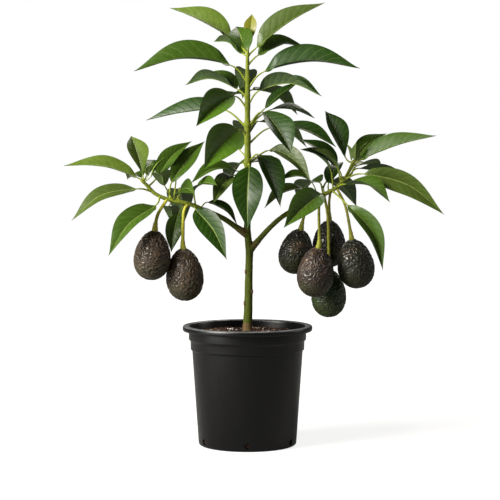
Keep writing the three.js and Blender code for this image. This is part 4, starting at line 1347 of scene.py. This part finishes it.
class AVOCADO_OT_stalks(bpy.types.Operator):
    """Hangs each fruit on a knobbed stalk that flares where it meets the fruit."""

    bl_idname = "avocado.stalks"
    bl_label = "Fruit Stalks"

    def execute(self, context):
        settings = context.scene.avocado_fruit
        pile = Pile()
        for number, (side, share, knee, centre, length, _, lean, _, kind) in enumerate(FRUITS, 1):
            axis = heading(0, 90 - lean)
            middle = Vector(centre) * MM
            points = [
                spline(LIMBS[side][0], share)[0],
                Vector(knee) * MM,
                middle + axis * (length / 2 * MM + COLLAR_LENGTH),
                middle + axis * (length / 2 * MM - FRUIT_SUNK),
            ]
            radii = [stalk_radius(k / STALK_RINGS, number, kind) for k in range(STALK_RINGS + 1)]
            pile.add_rings(tube_rings(points, radii, STALK_RINGS, 14), 0 if kind == "yellow" else 1)
        yellow, olive = settings.yellow_stalk, settings.olive_stalk
        finishes = [
            grained("stalk_yellow", yellow, shade_of(yellow, 0.7), 0.5, 300.0, 0.5, 0.4),
            grained("stalk_olive", olive, shade_of(olive, 0.65), 0.5, 300.0, 0.5, 0.4),
        ]
        names = [f"fruit_{n}" for n in range(1, len(FRUITS) + 1)]
        link_piece("fruit_stalks", pile.mesh("fruit_stalks"), names, finishes)
        return {"FINISHED"}


# Round soft lamps: name, place and size, in metres.
LAMPS = (
    ("key", (-2.5, -1.6, 1.9), 2.0),
    ("fill", (2.4, -1.5, 1.2), 1.6),
    ("side", (2.9, 0.5, 1.1), 1.4),
    ("back", (0.9, 2.3, 2.7), 1.8),
)
LAMP_AIM = (0, 0, 0.4)
CAMERA_SPOT, CAMERA_AIM = (0.0045, -2.995, 0.526), (0.0045, 0, 0.352)
SENSOR, FOCUS = 36.0, 1667 / 500


def room_light(sheet, level, flag, seen=1.0):
    """A shade for the camera, a level of grey as a light, and a share of that in reflections."""
    ray = sheet.node("ShaderNodeLightPath").outputs
    share = sheet.span(ray["Is Glossy Ray"], 0.0, 1.0, 1.0, flag, smooth=False)
    grey = sheet.math("MULTIPLY", share, level)
    return sheet.mix(ray["Is Camera Ray"], sheet.grey(grey), sheet.grey(seen))


def hang(context, name, data, spot, aim):
    """Places a lamp or a camera and turns it to a point."""
    held = bpy.data.objects.new(name, data)
    held.location = spot
    held.rotation_euler = (Vector(aim) - held.location).to_track_quat("-Z", "Y").to_euler()
    context.scene.collection.objects.link(held)
    return held


class AVOCADO_OT_stage(bpy.types.Operator):
    """Lays the plain floor, hangs the soft lights and sets the camera."""

    bl_idname = "avocado.stage"
    bl_label = "Stage"

    def execute(self, context):
        settings = context.scene.avocado_stage
        bm = bmesh.new()
        bmesh.ops.create_circle(bm, cap_ends=True, segments=96, radius=settings.floor)
        mesh = mesh_of(bm, "floor")
        material, sheet, shader = new_material("studio_floor", 0.9, 0.1)
        shader.inputs["Base Color"].default_value = rgba(settings.floor_colour)
        away = sheet.node("ShaderNodeVectorMath", {0: sheet.coords()}, operation="LENGTH").outputs["Value"]
        seen = sheet.span(away, 0.3, 1.5, settings.middle, 1.0)
        glow = room_light(sheet, settings.bounce, settings.flag, seen)
        sheet.join(glow, shader.inputs["Emission Color"])
        shader.inputs["Emission Strength"].default_value = settings.glow
        mesh.materials.append(material)
        floor = bpy.data.objects.new("floor", mesh)
        context.scene.collection.objects.link(floor)

        world = bpy.data.worlds.new("studio")
        context.scene.world = world
        world.use_nodes = True
        sheet = Sheet(world.node_tree)
        ground = world.node_tree.nodes["Background"]
        ground.inputs["Strength"].default_value = 1.0
        coords = sheet.node("ShaderNodeTexCoord").outputs["Generated"]
        wall = sheet.span(sheet.split(coords)[2], 0.1, 0.3, settings.wall, settings.sky)
        sheet.join(room_light(sheet, wall, settings.flag), ground.inputs["Color"])

        sun = bpy.data.lights.new("sun", "SUN")
        sun.energy, sun.angle = settings.sun, math.radians(50)
        sun.color = settings.warmth
        hang(context, "sun", sun, (-0.62, -0.55, 1.0), (0, 0, 0))

        for name, spot, size in LAMPS:
            lamp = bpy.data.lights.new(name, "AREA")
            lamp.shape, lamp.size = "DISK", size
            lamp.energy, lamp.color = getattr(settings, name), settings.warmth
            hang(context, name, lamp, spot, LAMP_AIM)

        panel = bpy.data.lights.new("panel", "AREA")
        panel.shape, panel.size, panel.size_y = "RECTANGLE", 0.9, 0.8
        panel.energy = settings.panel
        hang(context, "panel", panel, (-1.14, -0.61, 0.3), (0, 0, 0.15))

        lens = bpy.data.cameras.new("camera")
        lens.sensor_width = SENSOR
        lens.lens = SENSOR * FOCUS
        lens.clip_end = 60.0
        context.scene.camera = hang(context, "camera", lens, CAMERA_SPOT, CAMERA_AIM)
        context.scene.view_settings.view_transform = "Standard"
        return {"FINISHED"}


class AVOCADO_PT_panel(bpy.types.Panel):
    """Lists the settings and the steps."""

    bl_idname = "AVOCADO_PT_panel"
    bl_label = "Avocado Tree"
    bl_space_type = "VIEW_3D"
    bl_region_type = "UI"
    bl_category = "Avocado"

    def draw(self, context):
        for name in ("avocado_pot", "avocado_tree", "avocado_fruit", "avocado_stage"):
            settings = getattr(context.scene, name)
            box = self.layout.box()
            for prop in settings.bl_rna.properties:
                if prop.identifier not in ("rna_type", "name"):
                    box.prop(settings, prop.identifier)
        for step in STEPS:
            self.layout.operator(step.bl_idname)


STEPS = (
    AVOCADO_OT_stage,
    AVOCADO_OT_pot,
    AVOCADO_OT_mix,
    AVOCADO_OT_wood,
    AVOCADO_OT_leaves,
    AVOCADO_OT_fruit,
    AVOCADO_OT_stalks,
)
GROUPS = {
    "avocado_pot": AvocadoPotSettings,
    "avocado_tree": AvocadoTreeSettings,
    "avocado_fruit": AvocadoFruitSettings,
    "avocado_stage": AvocadoStageSettings,
}


def register():
    """Registers the settings, the steps and the panel."""
    for name, group in GROUPS.items():
        bpy.utils.register_class(group)
        setattr(bpy.types.Scene, name, bpy.props.PointerProperty(type=group))
    for step in (*STEPS, AVOCADO_PT_panel):
        bpy.utils.register_class(step)


def unregister():
    """Takes them away again."""
    for step in (AVOCADO_PT_panel, *reversed(STEPS)):
        bpy.utils.unregister_class(step)
    for name, group in GROUPS.items():
        delattr(bpy.types.Scene, name)
        bpy.utils.unregister_class(group)


def main():
    """Makes every piece in order."""
    register()
    for step in STEPS:
        area, verb = step.bl_idname.split(".")
        getattr(getattr(bpy.ops, area), verb)()


if __name__ == "__main__":
    main()
